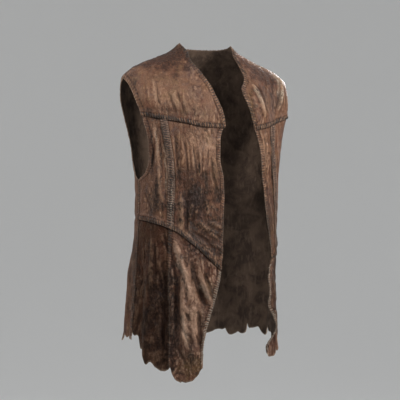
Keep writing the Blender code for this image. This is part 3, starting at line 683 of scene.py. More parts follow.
def back_lattice(sides):
    """The back: rows shared with both side seams, then a patch up to shoulders and nape."""
    rows = even_shares(BACK_ROWS - 1)
    left_angle, left_height, right_angle, right_height = (
        np.interp(rows, even_shares(len(line) - 1), line)[:, None]
        for line in (*sides[LEFT], *sides[RIGHT])
    )
    share = even_shares(2 * BACK_ACROSS_SHOULDER + BACK_ACROSS_NECK)
    angle = left_angle * (1.0 - share) + (360.0 - right_angle) * share
    height = left_height * (1.0 - share) + right_height * share
    down = (left_height - left_height[0]) / (left_height[-1] - left_height[0])
    height = height - smooth(BACK_TAILS, angle) * down ** TAIL_GROWTH
    seam = shoulder_path(BACK_ACROSS_SHOULDER + 1)
    turn = np.linspace(90.0, 270.0, NAPE_POINTS)
    dip = (1.0 - np.abs((turn - 180.0) / 90.0) ** 3) * (NECK_HEIGHT - NAPE_HEIGHT)
    neck = even_steps(np.stack([turn, NECK_HEIGHT - dip], axis=1), BACK_ACROSS_NECK + 1)
    top = np.concatenate([seam[::-1], neck[1:-1], other_side(seam)])
    arm = down_path(ARMHOLE_BACK, TIP_HEIGHT, UNDERARM_HEIGHT)
    low = np.stack([angle[0], height[0]], axis=1)
    upper = four_sided(top, low, arm, other_side(arm), BACK_UP + 1, behind=True)
    return (np.concatenate([upper[:-1, :, 0], angle]),
            np.concatenate([upper[:-1, :, 1], height]), BACK_UP)


def turned(grid, edge):
    """A view of a lattice whose first row is the edge named."""
    if edge == "first_row":
        return grid
    if edge == "last_row":
        return grid[::-1]
    swapped = grid.swapaxes(0, 1)
    return swapped if edge == "first_column" else swapped[::-1]


def laid_back(grid, edge, values):
    """Values worked out in the turned view, in the lattice's own layout."""
    result = np.empty(grid.shape[:2] + np.shape(values)[2:])
    turned(result, edge)[...] = values
    return result


# How an edge is finished. A bound edge is turned under and stitched down, and puckers between
# its stitches; a lap lies over the next piece; a butt edge meets its neighbour; a raw edge is
# cut or torn, curls a little and is nicked. An under edge lies beneath a lap, with painted shade
# along the line where the lap ends. The first field pales the rim, as wear and as a painted rim
# highlight; the soil along a stitched groove is dirt and painted shade.
Finish = namedtuple("Finish", "wear band band_rise pucker pitch nick curl")
BOUND = Finish(0.40, 0.0125, 0.0007, 0.0008, 0.0078, 0.0010, 0.0004)
NECK = Finish(0.14, 0.0120, 0.0006, 0.0013, 0.0085, 0.0016, 0.0004)
FRONT = Finish(0.30, 0.0105, 0.0005, 0.0011, 0.0068, 0.0012, 0.0008)
LAPPED = Finish(0.10, 0.0095, 0.0009, 0.0012, 0.0068, 0.0003, 0.0)
WAIST = Finish(0.35, 0.0095, 0.0012, 0.0015, 0.0075, 0.0003, 0.0)
STRAPPED = Finish(0.20, 0.0, 0.0, 0.0011, 0.0069, 0.0003, 0.0)
SHOULDER = Finish(0.50, 0.0060, 0.0004, 0.0006, 0.0070, 0.0, 0.0)
BUTT = Finish(0.15, 0.0060, 0.0003, 0.0004, 0.0070, 0.0, 0.0)
# An under edge: no wear, only painted shade along the line where the lap above it ends
UNDER = Finish(0.0, 0.0135, 0.0, 0.0004, 0.0068, 0.0, 0.0)
RAW = Finish(0.85, 0.0, 0.0, 0.0, 0.0100, 0.0034, 0.0016)
BAND_STEP = 0.0022          # width of the step from a turned edge down to the single hide
GROOVE = 0.0007             # depth of the stitched groove at that step
GROOVE_WIDTH = 0.0016
SOIL_AND_SHADE_WIDTH = 0.0026
PUCKER_REACH = 0.0085       # how far in from the edge the puckers go
NICK_REACH = 0.010
CURL_REACH = 0.007
EDGE_WEAR_AND_LIGHT_REACH = 0.0019
EDGE_CELL = 0.018           # boxes of the noise that makes the puckers uneven
PUCKER_SWAY = 2.2           # how far that noise shifts them, in radians
CURL_CELL = 0.05
NICKS = ((0.6, 0.016, 10.0), (0.4, 0.006, 12.0))

# A finish on a stretch of an edge, given as shares of the edge's own steps
Border = namedtuple("Border", "edge finish start end", defaults=(-1.0, 2.0))
BORDER_FADE = 0.012

# Small relief: its amount in metres, and the boxes that it varies in. The warp bends those of
# the others, and the broken and patchy boxes say where the wrinkles and crumples are strong.
DENT = (0.0012, (0.055, 0.055, 0.070))
WAVE = (0.0010, (0.022, 0.022, 0.034))
DRAG = (0.00120, (0.0080, 0.0080, 0.030))
CRUMPLE = (0.00095, (0.0088, 0.0088, 0.0200))
SLACK = (0.00260, (0.0150, 0.0150, 0.0250))
PORE = (0.00012, (0.0042, 0.0042, 0.0046))
WARP = (0.010, (0.045, 0.045, 0.050))
BROKEN = (0.019, 0.019, 0.030)
PATCHY = 0.060
TROUGH = 0.25               # how far the sharpened noises lie below their own middle
CALM_BACK = 0.50            # how much calmer the small relief is on the back
CALM_FROM = 88.0            # angle from the front at which it starts to calm
CALM_OVER = 14.0
LOOSE_FROM = -0.48          # height below which the hide hangs loose and crumples more
LOOSE_OVER = 0.12

# Where the hide is dragged into upright wrinkles: middle height, reach and strength
BELOW_YOKE = (-0.280, 0.105, 1.1)
ABOVE_SEAM = (-0.165, 0.035, 0.7)
AT_WAIST = (-0.455, 0.060, 0.6)
DRAG_FLOOR = 0.22
DRAG_LIMIT = 1.2
DRAG_SIDE = 95.0            # angle from the front beyond which the yokes drag nothing
DRAG_FADE = 25.0


def gather(angle, height):
    """How strongly the hide is dragged into small upright wrinkles: a bell at each height."""
    below, above, waist = (
        gain * bell(height - middle, reach)
        for middle, reach, gain in (BELOW_YOKE, ABOVE_SEAM, AT_WAIST)
    )
    in_front = soft_step((DRAG_SIDE - np.abs(turn_between(angle))) / DRAG_FADE)
    return np.clip(DRAG_FLOOR + below * in_front + above + waist, 0.0, DRAG_LIMIT)


def sharpened(value, soft, sharp, top):
    """Noise with sharp troughs: a share of it as it is, and its size as far as a flat top."""
    return soft * value + sharp * (np.minimum(np.abs(value), top) - TROUGH)


def small_relief(angle, height):
    """Dents, waves, dragged wrinkles and crumples from noise, with sharp troughs."""
    plain = ring_point(angle, height)
    warp = noise(plain, WARP[1], 3.0)[..., None] * WARP[0]
    bent = plain + warp * np.array([1.0, 1.0, 0.0])
    dent = noise(plain, DENT[1], 1.0) * DENT[0]
    wave = noise(bent, WAVE[1], 2.0) * WAVE[0]
    broken = soft_step(0.45 + 1.3 * noise(bent, BROKEN, 15.0))
    drag = sharpened(noise(bent, DRAG[1], 4.0), 0.45, 2.0 * broken, 0.42)
    drag = drag * DRAG[0] * gather(angle, height)
    crumple = sharpened(noise(bent, CRUMPLE[1], 5.0), 0.4, 1.8, 0.40)
    patchy = soft_step(0.5 + noise(plain, PATCHY, 6.0))
    loose = soft_step((LOOSE_FROM - height) / LOOSE_OVER)
    crumple = crumple * CRUMPLE[0] * (0.5 + patchy + 0.5 * loose)
    slack = noise(bent, SLACK[1], 16.0)
    slack = (slack - np.minimum(np.abs(slack - 0.1), 0.35)) * SLACK[0] * loose
    calm = 1.0 - CALM_BACK * soft_step((np.abs(turn_between(angle)) - CALM_FROM) / CALM_OVER)
    return dent + wave + (drag + crumple + slack) * calm


BLUR_ROUNDS = 9
WIDE_ROUNDS = 60
WIDE_SHARE = 0.13           # how much the broad ridges and troughs count in wear and dirt, and in painted highlight and shade
BACK_RELIEF_TONE = 0.64            # the back is rubbed less than the fronts, and has less painted highlight and shade


def blurred(grid, rounds):
    """A lattice averaged with its four neighbours, again and again."""
    for _ in range(rounds):
        wide = np.pad(grid, 1, mode="edge")
        near = wide[:-2, 1:-1] + wide[2:, 1:-1] + wide[1:-1, :-2] + wide[1:-1, 2:]
        grid = (grid + near) / 5.0
    return grid


class Panel:
    """One cut piece of hide on its fine lattice: its two faces and what the finish reads."""

    def __init__(self, name, angle, height, rise, thickness, borders):
        self.name = name
        self.angle = angle
        self.height = height
        normal = outward(cloth_point, angle, height)
        relief = crease_height(angle, height) + small_relief(angle, height)
        smooth_face = cloth_point(angle, height)
        smooth_face = smooth_face + normal * np.asarray(rise + 0.0 * angle)[..., None]
        self.wear = np.zeros_like(angle)
        self.soil_and_shade = np.zeros_like(angle)
        push = np.zeros_like(angle)
        shift = np.zeros(angle.shape + (3,))
        for border in borders:
            gain, wear, soil_and_shade, move = edge_relief(smooth_face, angle, border)
            push += gain
            self.wear = np.maximum(self.wear, wear)
            self.soil_and_shade = np.maximum(self.soil_and_shade, soil_and_shade)
            shift += move
        # The relief the colours read: fine creases and a share of broad ones, rubbed on the ridges
        # and dirty in the troughs, with painted highlight and shade
        near = blurred(relief + push, BLUR_ROUNDS)
        wide = blurred(near, WIDE_ROUNDS)
        self.relief = relief + push - near + WIDE_SHARE * (near - wide)
        if name == "back":
            self.relief *= BACK_RELIEF_TONE
        self.inner = smooth_face + normal * (relief + np.minimum(push, 0.0))[..., None] + shift
        pore = noise(smooth_face, PORE[1], 7.0) * PORE[0]
        thick = thickness + np.maximum(push, 0.0) + pore
        self.outer = self.inner + normal * thick[..., None]
        self.normal = grid_normals(self.outer, normal)


def edge_relief(points, angle, border):
    """What an edge's finish does to the hide near it: push out, wear with a painted rim highlight,
    soil with painted shade, and sideways move.

    The band is a raised strip that steps down to the single hide past a groove. Puckers are a
    cosine along the edge that dies away from it. Nicks draw the cut line in and out by noise.
    """
    edge, finish, start, end = border
    view = turned(points, edge)
    depth = laid_back(points, edge, run_of(view))
    run = laid_back(points, edge, run_of(view[0])[None])
    share = laid_back(points, edge, even_shares(view.shape[1] - 1)[None])
    here = soft_step((share - start) / BORDER_FADE + 0.5)
    here = here * soft_step((end - share) / BORDER_FADE + 0.5)
    banded = finish.band > 0.0
    band = finish.band_rise * (1.0 - soft_step((depth - finish.band) / BAND_STEP))
    groove = -GROOVE * bell(depth - finish.band - BAND_STEP * 0.4, GROOVE_WIDTH) * banded
    uneven = noise(points, EDGE_CELL, 8.0)
    wave = np.cos(2.0 * math.pi * run / finish.pitch + PUCKER_SWAY * uneven)
    pucker = finish.pucker * wave * (0.75 + 0.5 * uneven) * bell(depth, PUCKER_REACH)
    curl = finish.curl * np.exp(-depth / CURL_REACH) * (0.6 + noise(points, CURL_CELL, 9.0))
    # Rim wear and painted rim highlight near the edge
    wear = finish.wear * bell(depth, EDGE_WEAR_AND_LIGHT_REACH, 1.5)
    # Soil and painted shade along the stitched groove, darkest in the puckers' hollows
    soil_and_shade = bell(depth - finish.band, SOIL_AND_SHADE_WIDTH) * banded * (0.55 - 0.45 * wave)
    way = laid_back(points, edge, unit(view[0] - view[1])[None])
    move = finish.nick * noises(points, NICKS) * np.exp(-depth / NICK_REACH) * here
    if finish is RAW:
        move = move - torn_away(angle, depth)
    return (band + groove + pucker + curl) * here, wear * here, soil_and_shade * here, way * move[..., None]


def torn_away(angle, depth):
    """How far the tears draw the hem up: a narrow bell at each, easing off above the hem."""
    total = np.zeros_like(angle)
    for place, high, width in TEARS:
        total = np.maximum(total, high * bell(arc_between(angle, place), width, 1.5))
    return total * np.clip(1.0 - depth / TEAR_REACH, 0.0, 1.0) ** 1.5


def grid_normals(points, outside):
    """Unit normals of a lattice of points, turned to the side of the ones given."""
    normal = unit(np.cross(np.gradient(points, axis=1), np.gradient(points, axis=0)))
    return normal * np.sign(np.einsum("ijk,ijk->ij", normal, outside))[..., None]


def spot(panel, edge, run, depth, lift):
    """Points above a panel's hide face, at distances along an edge and in from it."""
    points, normal = turned(panel.outer, edge), turned(panel.normal, edge)
    column = np.interp(run, run_of(points[0]), np.arange(points.shape[1]))
    near = run_of(points)[:, np.rint(column).astype(int)]
    row = np.clip((near < depth).sum(axis=0) - 1, 0, len(points) - 2)
    here, below = (np.take_along_axis(near, row[None] + k, axis=0)[0] for k in (0, 1))
    t = ((depth - here) / (below - here))[..., None]
    left = np.clip(np.floor(column).astype(int), 0, points.shape[1] - 2)
    s = (column - left)[..., None]

    def read(grid):
        upper, lower = (grid[row + k, left] * (1.0 - s) + grid[row + k, left + 1] * s
                        for k in (0, 1))
        return upper * (1.0 - t) + lower * t

    way = unit(read(normal))
    return read(points) + way * lift, way


def edge_run(panel, edge):
    """Distance along one edge of a panel to each of its places."""
    return run_of(turned(panel.outer, edge)[0])


def edge_length(panel, edge):
    """Length of one edge of a panel."""
    return float(edge_run(panel, edge)[-1])


def new_mesh(name, points, faces, materials):
    """A smooth-shaded mesh object from arrays of points and lists of faces."""
    mesh = bpy.data.meshes.new(name)
    mesh.from_pydata(points.tolist(), [], faces)
    mesh.update()
    mesh.shade_smooth()
    for material in materials:
        mesh.materials.append(material)
    piece = bpy.data.objects.new(name, mesh)
    bpy.context.scene.collection.objects.link(piece)
    return piece


def store(mesh, name, values):
    """Keep one number for each point of a mesh."""
    attribute = mesh.attributes.new(name, "FLOAT", "POINT")
    attribute.data.foreach_set("value", np.asarray(values, np.float32).ravel())


RIM_BULGE = 0.0005
SHOULDER_DROP = 0.00035     # how far the worn rim of the hide face is rounded down
# Painted shade in the corners beside the raised straps: its strength, width and offset
STRAP_CORNER_SHADE = 0.60
STRAP_CORNER_SHADE_WIDTH = 0.0024
STRAP_CORNER_SHADE_OFF = 0.0008     # from the strap's side to the middle of the painted shade
SEAM_FADE = 0.004
STAIN_EDGE = ((0.45, 0.020, 13.0), (0.30, 0.008, 14.0))
STAIN_REACH = 1.35          # where a patch ends, as a share of its reach
STAIN_SOFTNESS = 1.1
STREAK_SWAY = 0.006


def strap_corner_shade(angle, height):
    """Painted shade in the corners on both sides of the straps, from the yoke seam to the waist
    seam.
    """
    total = np.zeros_like(angle)
    for side in (RIGHT, LEFT):
        aside = np.radians(angle - side * smooth(LONG_SEAM[side], height)) * BODY_RADIUS
        corner = np.abs(aside) - STRAP_HALF - STRAP_CORNER_SHADE_OFF
        sewn = soft_step((height - smooth(WAIST_SEAM[side], side * angle)) / SEAM_FADE)
        top = smooth(YOKE_SEAM[side], side * angle) + LAP
        sewn = sewn * soft_step((top - height) / SEAM_FADE)
        total += STRAP_CORNER_SHADE * bell(corner, STRAP_CORNER_SHADE_WIDTH) * sewn
    return total


def stain_and_light_amount(kind, angle, height):
    """Sum of the oval patches and the streaks of one kind, with edges that noise makes ragged. The
    dark and pale kinds are partly painted shade and highlight.
    """
    plain = ring_point(angle, height)
    ragged = noises(plain, STAIN_EDGE)
    total = np.zeros_like(angle)
    for place, middle, across, down, amount in PATCHES.get(kind, ()):
        u = arc_between(angle, place)
        distance = np.hypot(u / across, (height - middle) / down)
        total += amount * soft_step((STAIN_REACH - distance + ragged) / STAIN_SOFTNESS)
    for *line, width, amount in STREAKS.get(kind, ()):
        along, aside = along_line(line, angle, height)
        band = bell(aside + STREAK_SWAY * ragged, width)
        total += amount * faded_ends(along, STREAK_FADE) * band * (1.0 + ragged)
    # The dark kind also holds the painted shade beside the straps
    if kind == "dark":
        total += strap_corner_shade(angle, height)
    return np.clip(total, 0.0, 1.0)


def make_shell(panel, outside, inside):
    """Hide face, flesh face and a rounded rim between them, as one closed mesh."""
    rows, cols = panel.angle.shape
    count = rows * cols
    index = np.arange(count).reshape(rows, cols)
    border = np.concatenate([
        index[0, :-1], index[:-1, -1], index[-1, :0:-1], index[:0:-1, 0],
    ])
    outer = panel.outer.reshape(-1, 3).copy()
    inner = panel.inner.reshape(-1, 3)
    middle = (outer[border] + inner[border]) / 2.0
    along = np.roll(middle, -1, axis=0) - np.roll(middle, 1, axis=0)
    away = unit(np.cross(along, outer[border] - inner[border]))
    centre = index[rows // 2, cols // 2]
    towards = np.einsum("ij,ij->", away, middle - outer[centre])
    middle = middle + away * (RIM_BULGE if towards > 0.0 else -RIM_BULGE)
    outer[border] -= panel.normal.reshape(-1, 3)[border] * SHOULDER_DROP
    points = np.concatenate([outer, inner, middle])
    cells = np.stack([index[:-1, :-1], index[:-1, 1:], index[1:, 1:], index[1:, :-1]], axis=-1)
    cells = cells.reshape(-1, 4)
    ring = np.arange(len(border)) + 2 * count
    following, next_ring = np.roll(border, -1), np.roll(ring, -1)
    rim = np.concatenate([
        np.stack([following, border, ring, next_ring], axis=1),
        np.stack([next_ring, ring, border + count, following + count], axis=1),
    ])
    faces = np.concatenate([cells, cells[:, ::-1] + count, rim])
    a, b, c, d = (points[faces[:, k]] for k in range(4))
    volume = np.einsum("ij,ij->", a, np.cross(b, c) + np.cross(c, d))
    if volume < 0.0:
        faces = faces[:, ::-1]
    piece = new_mesh(panel.name + "_hide", points, faces.tolist(), [outside, inside])
    slots = np.zeros(len(faces), np.int32)
    slots[len(cells):2 * len(cells)] = 1
    piece.data.polygons.foreach_set("material_index", slots)
    # For the colours: relief, rim wear with painted rim highlight and sheen, soil with painted
    # shade, and stains with painted shade and highlight
    stains_and_light = {kind: stain_and_light_amount(kind, panel.angle, panel.height) for kind in (*STAIN_AND_LIGHT_KINDS, WORN_AND_SHEEN)}
    worn_and_sheen = np.maximum(panel.wear, stains_and_light.pop(WORN_AND_SHEEN))
    values = {"relief": panel.relief / MM, "wear": worn_and_sheen, "soil_and_shade": panel.soil_and_shade, **stains_and_light}
    for name, grid in values.items():
        flat = grid.ravel()
        store(piece.data, name, np.concatenate([flat, flat, flat[border]]))
    return piece


CORD_SIDES = 6
CORD_FLATNESS = 0.75
CORD_END = 0.35             # a cord's radius where it enters the hide, as a share of its own


def make_stitches(name, paths, ways, radius, material):
    """Cords carried along short paths, all in one mesh.

    Round each point of a path lies a ring, a little oval, whose radius follows a flattened
    half circle to the ends, so that a stitch tapers where it enters the hide.
    """
    count, length = paths.shape[:2]
    shape = (count, length, CORD_SIDES)
    along = unit(np.gradient(paths, axis=1))
    across = unit(np.cross(along, ways))
    up = CORD_FLATNESS * np.cross(across, along)
    t = np.linspace(-1.0, 1.0, length)
    size = radius * np.maximum(np.clip(1.0 - t ** 4, 0.0, 1.0) ** 0.5, CORD_END)
    turn = np.linspace(0.0, 2.0 * math.pi, CORD_SIDES, endpoint=False)[:, None]
    ring = np.cos(turn) * across[:, :, None] + np.sin(turn) * up[:, :, None]
    points = (paths[:, :, None] + ring * size[None, :, None, None]).reshape(-1, 3)
    index = np.arange(count * length * CORD_SIDES).reshape(shape)
    after = np.roll(index, -1, axis=2)
    faces = np.stack([index[:, :-1], index[:, 1:], after[:, 1:], after[:, :-1]], axis=-1)
    faces = faces.reshape(-1, 4)
    ends = np.concatenate([index[:, 0], index[:, -1, ::-1]])
    first, second, third = (points[faces[:, k]] for k in range(3))
    middle = np.repeat(paths.mean(axis=1), faces.shape[0] // count, axis=0)
    facing = np.einsum("ij,ij->", first - middle, np.cross(second - first, third - first))
    if facing < 0.0:
        faces, ends = faces[:, ::-1], ends[:, ::-1]
    piece = new_mesh(name, points, faces.tolist() + ends.tolist(), [material])
    share = np.arange(length)[None, :, None] / (length - 1.0)
    store(piece.data, "along", np.broadcast_to(share, shape))
    own = np.random.default_rng(5).random(count)
    store(piece.data, "own", np.broadcast_to(own[:, None, None], shape))
    return piece


class Nodes:
    """A node tree, with short ways to add the kinds of node that the looks are made of."""

    def __init__(self, tree):
        self.tree = tree

    def join(self, value, made, key):
        """Give a node's input a value, or the socket of another node."""
        if isinstance(value, bpy.types.NodeSocket):
            self.tree.links.new(value, made.inputs[key])
        else:
            made.inputs[key].default_value = value

    def add(self, kind, inputs=None, **settings):
        """A shader node with its settings and inputs."""
        made = self.tree.nodes.new("ShaderNode" + kind)
        for key, value in settings.items():
            setattr(made, key, value)
        for key, value in (inputs or {}).items():
            self.join(value, made, key)
        return made

    def calc(self, operation, first, second=0.5, clamp=False):
        """An operation on two numbers or sockets."""
        inputs = {0: first, 1: second}
        return self.add("Math", inputs, operation=operation, use_clamp=clamp).outputs[0]

    def times(self, first, second, clamp=False):
        """A product."""
        return self.calc("MULTIPLY", first, second, clamp)

    def more(self, total, *parts, clamp=False):
        """A total with each part, times its weight, added to it. The last sum may be clamped."""
        for number, (value, weight) in enumerate(parts, 1):
            held = clamp and number == len(parts)
            total = self.calc("ADD", total, self.times(value, weight), held)
        return total

    def spread(self, value, low, high, to_low=0.0, to_high=1.0):
        """Smoothly carry the range from low to high onto another range."""
        inputs = {"Value": value, "From Min": low, "From Max": high, "To Min": to_low,
                  "To Max": to_high}
        return self.add("MapRange", inputs, interpolation_type="SMOOTHSTEP").outputs["Result"]

    def cloud(self, vector, scale, detail=3.0, rough=0.55, distortion=0.0):
        """Noise of a given number of cells to the metre."""
        inputs = {"Vector": vector, "Scale": scale, "Detail": detail, "Roughness": rough,
                  "Distortion": distortion}
        return self.add("TexNoise", inputs).outputs["Fac"]

    def stretched(self, vector, scale):
        """The coordinates with each axis multiplied."""
        return self.add("VectorMath", {0: vector, 1: scale}, operation="MULTIPLY").outputs[0]

    def folded(self, value, top):
        """Zero along the line where a noise passes its middle, rising to a flat top of one."""
        off = self.calc("ABSOLUTE", self.calc("SUBTRACT", value, 0.5))
        return self.calc("DIVIDE", self.calc("MINIMUM", off, top), top)

    def mixed(self, share, first, second):
        """Mix two colours by a share."""
        inputs = {0: share, 6: first, 7: second}
        return self.add("Mix", inputs, data_type="RGBA", clamp_factor=True).outputs[2]

    def attribute(self, name):
        """A number kept on the mesh's points."""
        return self.add("Attribute", attribute_name=name).outputs["Fac"]

    def bump(self, shader, height, strength, distance):
        """Let a height raise the shader's surface."""
        inputs = {"Height": height, "Strength": strength, "Distance": distance}
        self.join(self.add("Bump", inputs).outputs["Normal"], shader, "Normal")


def group_tree(name, inputs, outputs):
    """A node group with named sockets: its nodes, its inputs' sockets and its output node."""
    tree = bpy.data.node_groups.new(name, "ShaderNodeTree")
    for label, (kind, value) in inputs.items():
        socket = tree.interface.new_socket(label, in_out="INPUT", socket_type="NodeSocket" + kind)
        if value is not None:
            socket.default_value = value
    for label, kind in outputs.items():
        tree.interface.new_socket(label, in_out="OUTPUT", socket_type="NodeSocket" + kind)
    entry, leave = (tree.nodes.new("NodeGroup" + end) for end in ("Input", "Output"))
    return Nodes(tree), entry.outputs, leave


def finish_group(nodes, leave, **sockets):
    """Join sockets to the group's outputs."""
    for label, socket in sockets.items():
        nodes.join(socket, leave, label)
    return nodes.tree


def grain_group():
    """Fine pebbles and crinkles of three sizes, each with sharp bottoms and rounded tops."""
    nodes, given, leave = group_tree(
        "hide_grain",
        {"Vector": ("Vector", None), "Pebbles": ("Float", 620.0), "Crinkles": ("Float", 62.0),
         "Stretch": ("Vector", (1.0, 1.0, 0.45))},
        {"Height": "Float", "Cracks": "Float", "Streaks": "Float"},
    )
    place, size = given["Vector"], given["Crinkles"]
    pebble = nodes.add("TexVoronoi", {"Vector": place, "Scale": given["Pebbles"],
                                      "Randomness": 1.0})
    pebble = nodes.spread(pebble.outputs["Distance"], 0.1, 0.75, 1.0, 0.0)
    bend = nodes.add("TexNoise", {"Vector": place, "Scale": 38.0, "Detail": 3.0})
    bend = nodes.stretched(bend.outputs["Color"], (0.030, 0.030, 0.030))
    bent = nodes.add("VectorMath", {0: place, 1: bend}).outputs[0]
    tall = nodes.stretched(bent, given["Stretch"])
    coarse = nodes.folded(nodes.cloud(tall, size, 1.5, 0.5), 0.16)
    middle = nodes.folded(nodes.cloud(tall, nodes.times(size, 2.3), 1.5, 0.5), 0.16)
    fine = nodes.folded(nodes.cloud(bent, nodes.times(size, 5.0), 1.0, 0.5), 0.15)
    streak = nodes.cloud(tall, 300.0, 4.0, 0.65)
    rough = nodes.cloud(place, 800.0, 2.0, 0.6)
    where = nodes.spread(nodes.cloud(place, 19.0, 2.0), 0.36, 0.60, 0.35, 1.0)
    height = nodes.more(nodes.times(coarse, 0.55), (middle, 0.36), (fine, 0.16))
    height = nodes.times(height, where)
    height = nodes.more(height, (pebble, 0.07), (rough, 0.10), (streak, 0.18))
    crack = nodes.times(nodes.spread(coarse, 0.45, 0.0, 0.0, 0.75), where)
    crack = nodes.more(crack, (nodes.spread(middle, 0.45, 0.0, 0.0, 0.60), where), clamp=True)
    return finish_group(nodes, leave, Height=height, Cracks=crack, Streaks=streak)


# The mottle's browns where a hide gives none of its own
TONES = {
    "Base": (0.138, 0.080, 0.055, 1.0), "Tan": (0.290, 0.195, 0.135, 1.0),
    "Plum": (0.100, 0.075, 0.078, 1.0), "Ochre": (0.150, 0.100, 0.036, 1.0),
    "Rust": (0.150, 0.055, 0.030, 1.0),
}


def mottle_group():
    """Patches of unlike browns, from hand size down to specks, with the listed stains: the dark
    and pale ones are partly painted shade and highlight.
    """
    inputs = {"Vector": ("Vector", None)}
    inputs.update({label: ("Color", value) for label, value in TONES.items()})
    inputs.update({kind: ("Float", 0.0) for kind in STAIN_AND_LIGHT_KINDS})
    outputs = {"Color": "Color", "Shade": "Float"}
    nodes, given, leave = group_tree("hide_mottle", inputs, outputs)
    place = given["Vector"]
    large = nodes.cloud(place, 14.0, 3.0, 0.6, 0.6)
    middle = nodes.cloud(place, 42.0, 4.0, 0.62, 0.4)
    small = nodes.cloud(nodes.stretched(place, (1.0, 1.0, 0.50)), 230.0, 4.0, 0.65, 0.4)
    speck = nodes.cloud(nodes.stretched(place, (1.0, 1.0, 0.60)), 520.0, 2.0, 0.5)
    colour = given["Base"]
    for cloud, *reach, strength, label in (
        (large, 0.48, 0.66, 0.55, "Rust"), (middle, 0.54, 0.70, 0.50, "Ochre"),
        (middle, 0.46, 0.30, 0.60, "Plum"),
    ):
        share = nodes.spread(cloud, *reach, 0.0, strength)
        colour = nodes.mixed(share, colour, given[label])
    stain = nodes.spread(small, 0.30, 0.62, 0.25, 1.0)
    for kind, label in (("rust", "Rust"), ("ochre", "Ochre"), ("plum", "Plum")):
        share = nodes.times(given[kind], nodes.times(stain, 0.85))
        colour = nodes.mixed(share, colour, given[label])
    # Pale stains, rubbed hide and painted highlight, mixed towards Tan
    pale = nodes.times(given["pale"], nodes.times(stain, 0.62))
    pale = nodes.calc("ADD", pale, nodes.spread(small, 0.54, 0.76, 0.0, 0.34))
    colour = nodes.mixed(pale, colour, given["Tan"])
    # Dark stains, dark hide and painted shade, given out as Shade
    dark = nodes.times(given["dark"], nodes.spread(small, 0.66, 0.40, 0.55, 1.0))
    dark = nodes.calc("ADD", dark, nodes.spread(small, 0.45, 0.25, 0.0, 0.42))
    dark = nodes.calc("ADD", dark, nodes.spread(speck, 0.42, 0.28, 0.0, 0.38), True)
    colour = nodes.mixed(nodes.spread(speck, 0.58, 0.72, 0.0, 0.28), colour, given["Tan"])
    return finish_group(nodes, leave, Color=colour, Shade=dark)


def wear_and_painted_light_group():
    """Where the hide is rubbed pale, on ridges and edges, with painted highlight, and where dirt
    stays, in troughs, with painted shade.
    """
    nodes, given, leave = group_tree(
        "hide_wear",
        {"Vector": ("Vector", None), "Relief": ("Float", 0.0), "Edge": ("Float", 0.0),
         "Soil_and_shade": ("Float", 0.0), "Streaks": ("Float", 0.5), "Cracks": ("Float", 0.0)},
        {"Rub": "Float", "Dirt": "Float", "Edge": "Float"},
    )
    place, relief, streaks = given["Vector"], given["Relief"], given["Streaks"]
    patchy = nodes.spread(nodes.cloud(place, 90.0, 3.0, 0.6), 0.30, 0.60, 0.35, 1.0)
    # Ridges rubbed pale, and painted highlight on them
    high = nodes.times(nodes.spread(relief, 0.05, 0.60), patchy)
    rub_and_highlight = nodes.more(high, (nodes.spread(streaks, 0.54, 0.74, 0.0, 0.55), 0.6))
    # Troughs darkened, as dirt and as painted shade
    low = nodes.spread(relief, -0.08, -0.80, 0.0, 0.75)
    dark = nodes.spread(streaks, 0.46, 0.28, 0.0, 0.60)
    dirt_and_shade = nodes.more(low, (dark, 0.65), (given["Soil_and_shade"], 0.95), (given["Cracks"], 0.45),
                      clamp=True)
    chips = nodes.spread(nodes.cloud(place, 260.0, 3.0, 0.65), 0.38, 0.58, 0.08, 1.0)
    return finish_group(nodes, leave, Rub=nodes.calc("MINIMUM", rub_and_highlight, 1.0), Dirt=dirt_and_shade,
                        Edge=nodes.times(given["Edge"], chips, True))


GROUPS = {"grain": grain_group(), "mottle": mottle_group(), "wear": wear_and_painted_light_group()}
# Pale of the worn rims, also a painted rim highlight
RIM_PALE_AND_HIGHLIGHT = (0.330, 0.265, 0.205, 1.0)

